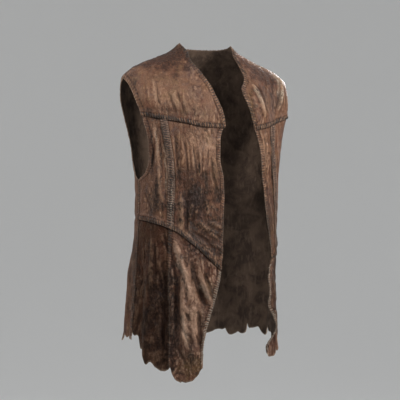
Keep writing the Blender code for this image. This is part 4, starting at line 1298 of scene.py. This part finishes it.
# A hide's own tones: those of the mottle in their order, and the deep brown of its dirt and of
# its painted shade. Then its dullness, its gloss and the upright scale of its grain, which below
# one draws it out.
Hide = namedtuple("Hide", "base tan plum ochre rust deep dull gloss upright")
HIDES = {
    "upper": Hide((0.120, 0.057, 0.032), (0.300, 0.185, 0.116), (0.092, 0.058, 0.052),
                  (0.130, 0.076, 0.030), (0.084, 0.026, 0.013), (0.016, 0.007, 0.004),
                  0.47, 0.20, 0.45),
    "centre": Hide((0.096, 0.043, 0.024), (0.345, 0.204, 0.128), (0.050, 0.036, 0.037),
                   (0.100, 0.057, 0.023), (0.080, 0.027, 0.014), (0.009, 0.004, 0.002),
                   0.35, 0.19, 0.45),
    "side": Hide((0.108, 0.049, 0.028), (0.310, 0.185, 0.118), (0.055, 0.036, 0.034),
                 (0.095, 0.054, 0.022), (0.085, 0.028, 0.015), (0.010, 0.005, 0.003),
                 0.36, 0.21, 0.50),
    "skirt": Hide((0.086, 0.039, 0.023), (0.365, 0.234, 0.164), (0.052, 0.036, 0.034),
                  (0.100, 0.058, 0.020), (0.086, 0.030, 0.016), (0.008, 0.004, 0.003),
                  0.29, 0.15, 0.80),
    # The side skirts: a darker copy of the skirt's hide, painted shade for their shadowed side
    "painted_shade_side": Hide((0.044, 0.021, 0.012), (0.130, 0.078, 0.050), (0.026, 0.017, 0.015),
                     (0.040, 0.024, 0.010), (0.056, 0.020, 0.011), (0.007, 0.003, 0.002),
                     0.36, 0.07, 0.80),
    "strip": Hide((0.125, 0.072, 0.050), (0.270, 0.180, 0.130), (0.052, 0.040, 0.044),
                  (0.085, 0.053, 0.025), (0.080, 0.033, 0.020), (0.009, 0.005, 0.004),
                  0.48, 0.25, 0.60),
    "rear": Hide((0.114, 0.056, 0.034), (0.300, 0.190, 0.124), (0.056, 0.042, 0.044),
                 (0.105, 0.064, 0.026), (0.096, 0.036, 0.021), (0.015, 0.008, 0.005),
                 0.52, 0.16, 0.60),
}


def new_material(name):
    """A material with its nodes, its shader and the object coordinates."""
    material = bpy.data.materials.new(name)
    material.use_nodes = True
    nodes = Nodes(material.node_tree)
    place = nodes.add("TexCoord").outputs["Object"]
    return material, nodes, material.node_tree.nodes["Principled BSDF"], place


def hide_face(name, hide):
    """The outer, grain side: mottled browns, rubbed ridges and dirty troughs with painted
    highlight and shade, a satin shine.
    """
    material, nodes, shader, place = new_material(name)
    tones = {label: tone + (1.0,) for label, tone in zip(TONES, hide)}
    inputs = {"Vector": place, "Stretch": (1.0, 1.0, hide.upright)}
    grain = nodes.add("Group", inputs, node_tree=GROUPS["grain"])
    streaks = grain.outputs["Streaks"]
    inputs = {"Vector": place, "Relief": nodes.attribute("relief"),
              "Edge": nodes.attribute("wear"), "Soil_and_shade": nodes.attribute("soil_and_shade"),
              "Streaks": streaks, "Cracks": grain.outputs["Cracks"]}
    wear = nodes.add("Group", inputs, node_tree=GROUPS["wear"])
    inputs = {"Vector": place, **{kind: nodes.attribute(kind) for kind in STAIN_AND_LIGHT_KINDS}, **tones}
    mottle = nodes.add("Group", inputs, node_tree=GROUPS["mottle"])
    rub_and_highlight, dirt_and_shade, edge = (wear.outputs[label] for label in ("Rub", "Dirt", "Edge"))
    # Rubbed ridges and painted highlight, mixed towards Tan
    colour = nodes.mixed(nodes.times(rub_and_highlight, 0.56), mottle.outputs["Color"], tones["Tan"])
    # Dark stains, dirt and painted shade, mixed towards the deep brown
    shade = nodes.times(mottle.outputs["Shade"], 0.94)
    shade = nodes.calc("MAXIMUM", shade, nodes.times(dirt_and_shade, 0.74))
    colour = nodes.mixed(shade, colour, hide.deep + (1.0,))
    # Rims worn pale, and a painted rim highlight
    nodes.join(nodes.mixed(edge, colour, RIM_PALE_AND_HIGHLIGHT), shader, "Base Color")
    rough = nodes.calc("ADD", nodes.times(dirt_and_shade, 0.22), hide.dull)
    rough = nodes.calc("SUBTRACT", rough, nodes.times(rub_and_highlight, 0.10))
    nodes.join(nodes.more(rough, (streaks, 0.12), clamp=True), shader, "Roughness")
    nodes.bump(shader, grain.outputs["Height"], 0.9, 0.0024)
    shader.inputs["Specular IOR Level"].default_value = hide.gloss
    return material


# Browns of the flesh side: where dye has come through, plain, in pale streaks and deep in the nap
FLESH = (
    (0.040, 0.026, 0.019, 1.0), (0.100, 0.067, 0.048, 1.0), (0.150, 0.105, 0.078, 1.0),
    (0.022, 0.014, 0.011, 1.0),
)


def flesh_face():
    """The inner, flesh side: matt, fibrous and darker, with brown dye that has come through."""
    material, nodes, shader, place = new_material("flesh_side")
    nap = nodes.cloud(place, 420.0, 4.0, 0.7, 0.3)
    patch = nodes.cloud(place, 22.0, 4.0, 0.6, 0.5)
    streak = nodes.cloud(nodes.stretched(place, (1.0, 1.0, 0.3)), 120.0, 3.0, 0.6)
    dyed, plain, pale, deep = FLESH
    colour = nodes.mixed(nodes.spread(patch, 0.36, 0.66), dyed, plain)
    colour = nodes.mixed(nodes.spread(streak, 0.50, 0.72, 0.0, 0.45), colour, pale)
    colour = nodes.mixed(nodes.spread(nap, 0.48, 0.30, 0.0, 0.55), colour, deep)
    # Paler towards the rims: worn, and a painted rim highlight
    colour = nodes.mixed(nodes.times(nodes.attribute("wear"), 0.55), colour, RIM_PALE_AND_HIGHLIGHT)
    nodes.join(colour, shader, "Base Color")
    nodes.join(nodes.spread(nap, 0.25, 0.75, 0.82, 0.97), shader, "Roughness")
    nodes.bump(shader, nodes.more(nap, (streak, 0.6)), 0.6, 0.0009)
    shader.inputs["Specular IOR Level"].default_value = 0.25
    return material


CORD_TURNS = 34.0           # how far the strands turn along a stitch, in radians


def cord_face(name, dark, light):
    """Waxed cord: laid strands that turn round it, dirt between them and rubbed crowns."""
    material, nodes, shader, place = new_material(name)
    twist = nodes.calc("SINE", nodes.times(nodes.attribute("along"), CORD_TURNS), 0.0)
    fibre = nodes.cloud(place, 700.0, 3.0, 0.6)
    share = nodes.more(nodes.times(twist, 0.22), (fibre, 0.6), (nodes.attribute("own"), 0.35),
                       clamp=True)
    nodes.join(nodes.mixed(share, dark, light), shader, "Base Color")
    nodes.join(nodes.spread(fibre, 0.2, 0.8, 0.50, 0.78), shader, "Roughness")
    nodes.bump(shader, nodes.calc("ADD", nodes.times(twist, 0.5), fibre), 0.6, 0.0004)
    return material


MATERIALS = {label: hide_face("hide_" + label, hide) for label, hide in HIDES.items()}
MATERIALS["flesh"] = flesh_face()
CORD_TONES = {
    "dark_cord": ((0.003, 0.0022, 0.002, 1.0), (0.018, 0.012, 0.010, 1.0)),
    "pale_cord": ((0.060, 0.045, 0.034, 1.0), (0.330, 0.275, 0.220, 1.0)),
}
for label, tones in CORD_TONES.items():
    MATERIALS[label] = cord_face(label, *tones)

# Each hide piece's own cut: width, length and area in metres, and its slot in the record
Cut = namedtuple("Cut", "width length area slot material")
CUTS = {
    "front_yoke_right": Cut(0.250, 0.270, 0.051, "hide", "upper"),
    "front_yoke_left": Cut(0.220, 0.260, 0.0445, "hide", "upper"),
    "centre_front_right": Cut(0.150, 0.400, 0.054, "hide", "centre"),
    "centre_front_left": Cut(0.070, 0.380, 0.021, "hide", "centre"),
    "side_front_right": Cut(0.150, 0.320, 0.026, "hide_dark", "side"),
    "side_front_left": Cut(0.160, 0.350, 0.031, "hide_dark", "side"),
    "centre_skirt_right": Cut(0.150, 0.410, 0.0455, "hide", "skirt"),
    "centre_skirt_left": Cut(0.085, 0.330, 0.020, "hide", "skirt"),
    "side_skirt_right": Cut(0.155, 0.410, 0.047, "hide_dark", "painted_shade_side"),
    "side_skirt_left": Cut(0.125, 0.350, 0.028, "hide_dark", "painted_shade_side"),
    "seam_strap_right": Cut(0.017, 0.330, 0.0056, "strap", "strip"),
    "seam_strap_left": Cut(0.017, 0.390, 0.0066, "strap", "strip"),
    "back": Cut(0.620, 0.900, 0.475, "hide", "rear"),
}
RAMP_ROWS = 6


def ramp_above(rise, first, last):
    """Lift rows first to last by the lap, and ease the rows above them up to it."""
    rise[first:last + 1] = LAP_RISE
    for step in range(1, min(RAMP_ROWS, first + 1)):
        rise[first - step] = LAP_RISE * soft_step(1.0 - step / RAMP_ROWS)


def build_front(side):
    """All the hide pieces of one front, keyed by the node each stands for."""
    angle, height, marks, underarm_row = front_lattice(side)
    rise = np.zeros_like(angle)
    ramp_above(rise, marks[2], marks[3])
    seam = seam_column(side)
    centre, outer = slice(0, seam + 1), slice(seam, None)
    body, skirt = slice(0, marks[3] + 1), slice(marks[2], None)
    strip = slice(seam - STRAP_STEPS, seam + STRAP_STEPS + 1)
    sewn = slice(marks[1], marks[3] + 1)
    underarm = underarm_row / marks[3]
    panels = {}

    def add(title, angles, heights, rises, borders, thickness=LEATHER):
        name = title + "_" + SIDE_NAMES[side]
        panels[name] = Panel(name, side * angles, heights, rises, thickness, borders)

    def cut(title, part, rises, borders, thickness=LEATHER):
        add(title, angle[part], height[part], rises[part], borders, thickness)

    yoke = yoke_lattice(side, angle, height)
    yoke_rise = np.zeros_like(yoke[0])
    last = len(yoke_rise) - 1
    ramp_above(yoke_rise, last - STEPS[side].margin, last)
    add("front_yoke", *yoke, yoke_rise,
        [Border("first_column", NECK), Border("last_column", BOUND), Border("last_row", LAPPED),
         Border("first_row", SHOULDER)])
    cut("centre_front", (body, centre), rise,
        [Border("first_column", FRONT), Border("last_row", WAIST), Border("first_row", UNDER)])
    cut("side_front", (body, outer), rise,
        [Border("last_column", BOUND, end=underarm), Border("last_row", WAIST),
         Border("last_column", BUTT, start=underarm), Border("first_row", UNDER)])
    for title, part, first in (("centre_skirt", centre, FRONT), ("side_skirt", outer, BUTT)):
        cut(title, (skirt, part), np.zeros_like(angle),
            [Border("first_column", first), Border("last_row", RAW),
             Border("last_column", BUTT), Border("first_row", UNDER)])
    cut("seam_strap", (sewn, strip), rise + LAP_RISE,
        [Border("first_column", STRAPPED), Border("last_column", STRAPPED)], STRAP_THICK)
    return panels, (angle[underarm_row:, -1], height[underarm_row:, -1])


def build_back(sides):
    """The back, finished as the fronts are, and the share of its sides that are armholes."""
    angle, height, underarm_row = back_lattice(sides)
    arm = underarm_row / (len(angle) - 1)
    neck = BACK_ACROSS_SHOULDER / (angle.shape[1] - 1)
    borders = []
    for edge in ("first_column", "last_column"):
        borders += [Border(edge, BOUND, end=arm), Border(edge, BUTT, start=arm)]
    borders += [
        Border("first_row", NECK, neck, 1.0 - neck), Border("first_row", BUTT, end=neck),
        Border("first_row", BUTT, start=1.0 - neck), Border("last_row", RAW),
    ]
    return Panel("back", angle, height, 0.0, LEATHER, borders), arm


# How a row is sewn: the distance between its stitches, their reach and slant, how far the cord's
# middle bows off the hide and the cord's own radius
Thread = namedtuple("Thread", "pitch reach slant bow radius")
YOKE_WHIP = Thread(0.0073, 0.0114, 0.0025, 0.0011, 0.0011)
NECK_WHIP = Thread(0.0085, 0.0115, 0.0056, 0.0010, 0.0010)
NAPE_WHIP = Thread(0.0092, 0.0105, 0.0050, 0.0007, 0.0007)
ARM_STITCH = Thread(0.0062, 0.0030, 0.0, 0.0006, 0.0006)
RUNGS = Thread(0.0069, 0.0092, 0.0012, 0.0010, 0.0010)
WAIST_WHIP = Thread(0.0075, 0.0112, 0.0040, 0.0009, 0.0009)
SKIRT_SEWING = Thread(0.0066, 0.0060, 0.0022, 0.0008, 0.0008)
LOW_SEWING = Thread(0.0110, 0.0022, 0.0010, 0.0004, 0.0004)
EDGE_WHIP = Thread(0.0068, 0.0092, 0.0012, 0.0009, 0.0011)
CHEST_WHIP = Thread(0.0105, 0.0085, 0.0045, 0.0006, 0.0006)
SIDE_SEWING = Thread(0.0072, 0.0056, 0.0014, 0.0008, 0.0008)
SHOULDER_SEWING = Thread(0.0070, 0.0056, 0.0014, 0.0008, 0.0008)
ARM_DEPTH = 0.0130          # from an armhole's edge to its stitches
FOOT_DEPTH = 0.0004         # how deep a whip stitch goes into the hide under the lap
FOOT_RISE = 0.45            # how far below the lap's face it comes out, as a share of the lap
UNEVEN = 0.22               # how far stitches stray from even places, in pitches
RANDOM = np.random.default_rng(23)


def strayed(middle, stray, count):
    """Values for a number of stitches that stray evenly to both sides of their middle."""
    return middle + stray * RANDOM.uniform(-1.0, 1.0, count)


def places_along(start, end, pitch):
    """Uneven places from start to end, about a pitch apart."""
    count = max(int((end - start) / pitch), 1)
    return start + strayed(np.arange(count) + 0.5, UNEVEN, count) * pitch


def carried(panel, edge, runs, depths, lifts):
    """Paths over a panel's hide face, and its normals there, point by point of a stitch."""
    spots = [spot(panel, edge, *place) for place in zip(runs, depths, lifts)]
    return tuple(np.stack(part, axis=1) for part in zip(*spots))


def slanted_stitches(thread, panel, edge, start, end, strays, share, lift):
    """Stitches that lean along an edge, each a little longer or shorter than its reach."""
    run = places_along(start, end, thread.pitch)
    size = thread.reach * strayed(1.0, strays[0], len(run))
    lean = strayed(thread.slant, strays[1], len(run))
    return carried(panel, edge, run + np.outer(share, lean), np.outer(share, size), lift)


def whip_stitches(thread, *place):
    """Slanted stitches from under a lapped edge, over it and into the hide above it."""
    over = thread.bow * np.array([0.7, 0.9, 0.7, 0.1, -0.9])
    lift = [-LAP_RISE - FOOT_DEPTH, -LAP_RISE * FOOT_RISE, *over]
    share = [-0.10, -0.05, 0.04, 0.30, 0.62, 0.90, 1.0]
    return slanted_stitches(thread, *place, (0.22, 0.0016), share, lift)


def rim_stitches(thread, *place):
    """Stitches that go over a cut edge, from the hide face round to the flesh face."""
    lift = thread.bow * np.array([-0.9, 0.2, 0.8, 0.7, -0.4, 0.0, -1.6, -0.6])
    lift[5:] -= LEATHER
    share = [1.0, 0.85, 0.45, 0.08, -0.07, -0.06, 0.06, 0.45]
    return slanted_stitches(thread, *place, (0.20, 0.0012), share, lift)


def running_stitches(thread, panel, edge, start, end):
    """Short stitches along an armhole, each arched between the two holes that it enters."""
    run = places_along(start, end, thread.pitch)
    share = np.array([-0.5, -0.38, -0.15, 0.15, 0.38, 0.5])
    lift = thread.bow * np.array([-0.9, 0.1, 0.8, 0.8, 0.1, -0.9])
    depths = [ARM_DEPTH] * len(share)
    return carried(panel, edge, run + thread.reach * share[:, None], depths, lift)


def rung_stitches(thread, panel, start, end, width):
    """Rungs across the middle of a strap, each a little askew."""
    run = places_along(start, end, thread.pitch)
    askew = 2.0 * strayed(thread.slant, 0.0012, len(run))
    share = np.array([-0.5, -0.42, -0.2, 0.2, 0.42, 0.5])
    lift = thread.bow * np.array([-0.9, 0.3, 1.0, 1.0, 0.3, -0.9])
    depths = width / 2.0 + thread.reach * share
    return carried(panel, "first_column", run + np.outer(share, askew), depths, lift)


def over_seam(near, far, size, share, lift):
    """Stitches out of the hide on one side of a seam and into that on the other.

    Each side is a panel, its edge, the places along it and the slant away from them.
    """
    halves = []
    for (panel, edge, run, slant), order in ((near, 1), (far, -1)):
        parts, rises = np.array(share)[::order, None], lift[::order]
        halves.append(carried(panel, edge, run + slant * parts, size * parts, rises))
    return tuple(np.concatenate(part, axis=1) for part in zip(*halves))


def bridge_stitches(thread, near, far, start, end, offset=0.0):
    """Stitches across a butted seam. Each side is a panel and its edge."""
    run = places_along(start, end, thread.pitch)
    size = thread.reach * strayed(1.0, 0.18, len(run))
    lift = thread.bow * np.array([-0.9, 0.3, 0.9])
    return over_seam((*near, run, thread.slant), (*far, run + offset, -thread.slant), size,
                     (1.0, 0.8, 0.3), lift)


def shoulder_stitches(thread, yoke, back, side):
    """Stitches over the shoulder seam. The back's edge starts at the left shoulder's tip."""
    reach = edge_length(yoke, "first_row")
    run = places_along(0.008, reach - 0.008, thread.pitch)
    back_run = reach - run if side == LEFT else edge_length(back, "first_row") - reach + run
    lift = thread.bow * np.array([-0.9, 0.4, 0.9])
    return over_seam((yoke, "first_row", run, thread.slant), (back, "first_row", back_run, 0.0),
                     thread.reach, (1.0, 0.75, 0.2), lift)


def sewn_row(title, carrier, thread, stitches, cord="dark_cord"):
    """One row of stitches, with the name of the piece that carries it."""
    return make_stitches(title, *stitches, thread.radius, MATERIALS[cord]), carrier.name


def front_underarm(outer):
    """Distance along a side front's outer edge at which the armhole ends and the seam starts."""
    row = int(np.argmin(np.abs(outer.height[:, -1] - UNDERARM_HEIGHT)))
    return float(edge_run(outer, "last_column")[row])


def back_underarm(back, edge, arm):
    """The same distance along one of the back's edges."""
    run = edge_run(back, edge)
    return float(run[int(round(arm * (len(run) - 1)))])


BACK_EDGES = {LEFT: "first_column", RIGHT: "last_column"}


def sew_front(side, panels, back, arm):
    """All the sewing of one front."""
    name = "_" + SIDE_NAMES[side]
    yoke, centre, outer, skirt, side_skirt, strap = (
        panels[title + name] for title in ("front_yoke", "centre_front", "side_front",
                                           "centre_skirt", "side_skirt", "seam_strap")
    )
    rows = []

    def row(title, carrier, thread, stitches, cord="dark_cord"):
        rows.append(sewn_row(title + name, carrier, thread, stitches, cord))

    def on_edge(title, panel, edge, thread, maker, start, left, cord="dark_cord"):
        """A row along one edge, from a start to what is left at its end."""
        end = edge_length(panel, edge) - left
        row(title, panel, thread, maker(thread, panel, edge, start, end), cord)

    on_edge("yoke_whip", yoke, "last_row", YOKE_WHIP, whip_stitches, 0.003, 0.003)
    on_edge("neck_whip", yoke, "first_column", NECK_WHIP, rim_stitches, 0.020, 0.014)
    on_edge("arm_stitch", yoke, "last_column", ARM_STITCH, running_stitches, 0.008, 0.004)
    underarm = front_underarm(outer)
    row("low_arm_stitch", outer, ARM_STITCH,
        running_stitches(ARM_STITCH, outer, "last_column", 0.014, underarm - 0.006))
    width, length = (edge_length(strap, edge) for edge in ("first_row", "first_column"))
    row("strap_rungs", strap, RUNGS, rung_stitches(RUNGS, strap, 0.004, length - 0.004, width))
    waist = [
        whip_stitches(WAIST_WHIP, panel, "last_row", 0.004, edge_length(panel, "last_row") - 0.004)
        for panel in (centre, outer)
    ]
    row("waist_whip", centre, WAIST_WHIP, tuple(np.concatenate(part) for part in zip(*waist)))
    seam = (skirt, "last_column"), (side_skirt, "first_column")
    row("skirt_seam", skirt, SKIRT_SEWING, bridge_stitches(SKIRT_SEWING, *seam, 0.016, 0.082))
    length = edge_length(skirt, "last_column")
    row("skirt_low_seam", skirt, LOW_SEWING,
        bridge_stitches(LOW_SEWING, *seam, 0.084, length - 0.006))
    on_edge("edge_whip", skirt, "first_column", EDGE_WHIP, rim_stitches, 0.020, 0.010,
            "pale_cord")
    on_edge("chest_whip", centre, "first_column", CHEST_WHIP, rim_stitches, 0.018, 0.010)
    behind = back, BACK_EDGES[side]
    meet, total = back_underarm(*behind, arm), edge_length(outer, "last_column")
    row("side_seam", outer, SIDE_SEWING,
        bridge_stitches(SIDE_SEWING, (outer, "last_column"), behind, underarm + 0.006,
                        total - 0.016, meet - underarm))
    length = edge_length(side_skirt, "last_column")
    row("side_skirt_seam", side_skirt, SIDE_SEWING,
        bridge_stitches(SIDE_SEWING, (side_skirt, "last_column"), behind, 0.016, length - 0.012,
                        meet + total - underarm - LAP))
    return rows


def sew_back(back, panels, arm):
    """The back's own sewing: neckline, armholes and shoulder seams."""
    top = edge_run(back, "first_row")
    ends = top[BACK_ACROSS_SHOULDER] + 0.01, top[BACK_ACROSS_SHOULDER + BACK_ACROSS_NECK] - 0.01
    rows = [sewn_row("nape_whip", back, NAPE_WHIP,
                     rim_stitches(NAPE_WHIP, back, "first_row", *ends))]
    for side, edge in BACK_EDGES.items():
        name = "_" + SIDE_NAMES[side]
        end = back_underarm(back, edge, arm) - 0.008
        rows.append(sewn_row("back_arm_stitch" + name, back, ARM_STITCH,
                             running_stitches(ARM_STITCH, back, edge, 0.008, end)))
        stitches = shoulder_stitches(SHOULDER_SEWING, panels["front_yoke" + name], back, side)
        rows.append(sewn_row("shoulder_seam" + name, back, SHOULDER_SEWING, stitches))
    return rows


def dress():
    panels, seams = {}, {}
    for side in (RIGHT, LEFT):
        made, seams[side] = build_front(side)
        panels.update(made)
    back, arm = build_back(seams)
    panels["back"] = back
    rows = sew_back(back, panels, arm)
    for side in (RIGHT, LEFT):
        rows += sew_front(side, panels, back, arm)
    for name, panel in panels.items():
        cut = CUTS[name]
        piece = make_shell(panel, MATERIALS[cut.material], MATERIALS["flesh"])
        sewing = [row for row, carrier in rows if carrier == name]
        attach(piece, BODY)
        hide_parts(name)
        for row in sewing:
            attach(row, BODY)


FLOOR_HEIGHT = -1.45
ROOM_RADIUS = 6.0
ROOM_CURVE = 3.0
ROOM_HEIGHT = 4.5
ROOM_SIDES = 96
ROOM_TONES = (0.80, 0.80, 0.79, 1.0), (0.76, 0.76, 0.755, 1.0)


def make_room():
    """A round pale floor that curves up into a wall: a profile turned about the upright axis."""
    turn = np.linspace(0.0, math.pi / 2.0, 17)
    radius = np.concatenate([[0.02], ROOM_RADIUS - ROOM_CURVE + ROOM_CURVE * np.sin(turn),
                             [ROOM_RADIUS]])
    height = np.concatenate([[0.0], ROOM_CURVE * (1.0 - np.cos(turn)), [ROOM_HEIGHT]])
    around = np.linspace(0.0, 2.0 * math.pi, ROOM_SIDES, endpoint=False)
    x = radius[:, None] * np.cos(around)
    y = radius[:, None] * np.sin(around)
    z = np.broadcast_to((height + FLOOR_HEIGHT)[:, None], x.shape)
    points = np.stack([x, y, z], axis=-1).reshape(-1, 3)
    index = np.arange(len(points)).reshape(x.shape)
    after = np.roll(index, -1, axis=1)
    faces = np.stack([index[:-1], index[1:], after[1:], after[:-1]], axis=-1).reshape(-1, 4)
    material, nodes, shader, place = new_material("pale_floor")
    share = nodes.spread(nodes.cloud(place, 1.5, 2.0, 0.5), 0.3, 0.7, 0.0, 0.10)
    nodes.join(nodes.mixed(share, *ROOM_TONES), shader, "Base Color")
    shader.inputs["Roughness"].default_value = 0.9
    room = new_mesh("floor_sweep", points, faces.tolist() + [index[0].tolist()], [material])


Lamp = namedtuple("Lamp", "name azimuth elevation distance size power tint")
# Azimuths as the camera's: 0 in front of the vest, and positive towards the wearer's left
LAMPS = (
    Lamp("key", 24.0, 30.0, 1.6, 0.34, 28.0, (1.0, 0.965, 0.92)),
    Lamp("side", -82.0, 42.0, 1.35, 0.3, 9.5, (1.0, 0.98, 0.95)),
    Lamp("rim_left", 112.0, 35.0, 2.4, 0.5, 5.0, (1.0, 1.0, 1.0)),
    Lamp("rim_right", -145.0, 40.0, 2.4, 0.5, 9.0, (0.96, 0.98, 1.0)),
    Lamp("rear_fill", 128.0, 24.0, 1.8, 0.4, 22.0, (1.0, 0.98, 0.96)),
)
SKY_TONE = (0.90, 0.92, 0.95, 1.0)
SKY_STRENGTH = 0.50
AIM = (-0.0178, 0.0091, -0.40)


def aimed(thing, azimuth, elevation, distance):
    """Put a lamp or camera at a distance from the aim, turned to it."""
    a, e = math.radians(azimuth), math.radians(elevation)
    way = Vector((math.sin(a) * math.cos(e), -math.cos(a) * math.cos(e), math.sin(e)))
    holder = bpy.data.objects.new(thing.name, thing)
    holder.location = Vector(AIM) + way * distance
    holder.rotation_euler = (-way).to_track_quat("-Z", "Y").to_euler()
    bpy.context.scene.collection.objects.link(holder)
    return holder


def make_lights():
    """Soft square lamps and a dim pale sky."""
    for lamp in LAMPS:
        light = bpy.data.lights.new(lamp.name, "AREA")
        light.shape = "SQUARE"
        light.size = lamp.size
        light.energy = lamp.power
        light.color = lamp.tint
        aimed(light, lamp.azimuth, lamp.elevation, lamp.distance)
    world = bpy.data.worlds.new("pale_sky")
    world.use_nodes = True
    background = world.node_tree.nodes["Background"]
    background.inputs["Color"].default_value = SKY_TONE
    background.inputs["Strength"].default_value = SKY_STRENGTH
    bpy.context.scene.world = world


CAMERA_AZIMUTH = -27.0
CAMERA_DISTANCE = 3.5
FRAME_WIDTH = 1.14          # metres across the picture at the aim
SENSOR = 36.0


def make_camera():
    """A long lens at the height of the waist, from the wearer's right front."""
    camera = bpy.data.cameras.new("camera")
    camera.sensor_width = SENSOR
    camera.lens = SENSOR * CAMERA_DISTANCE / FRAME_WIDTH
    bpy.context.scene.camera = aimed(camera, CAMERA_AZIMUTH, 0.0, CAMERA_DISTANCE)


bpy.context.scene.view_settings.view_transform = "Standard"
dress()
make_room()
make_lights()
make_camera()
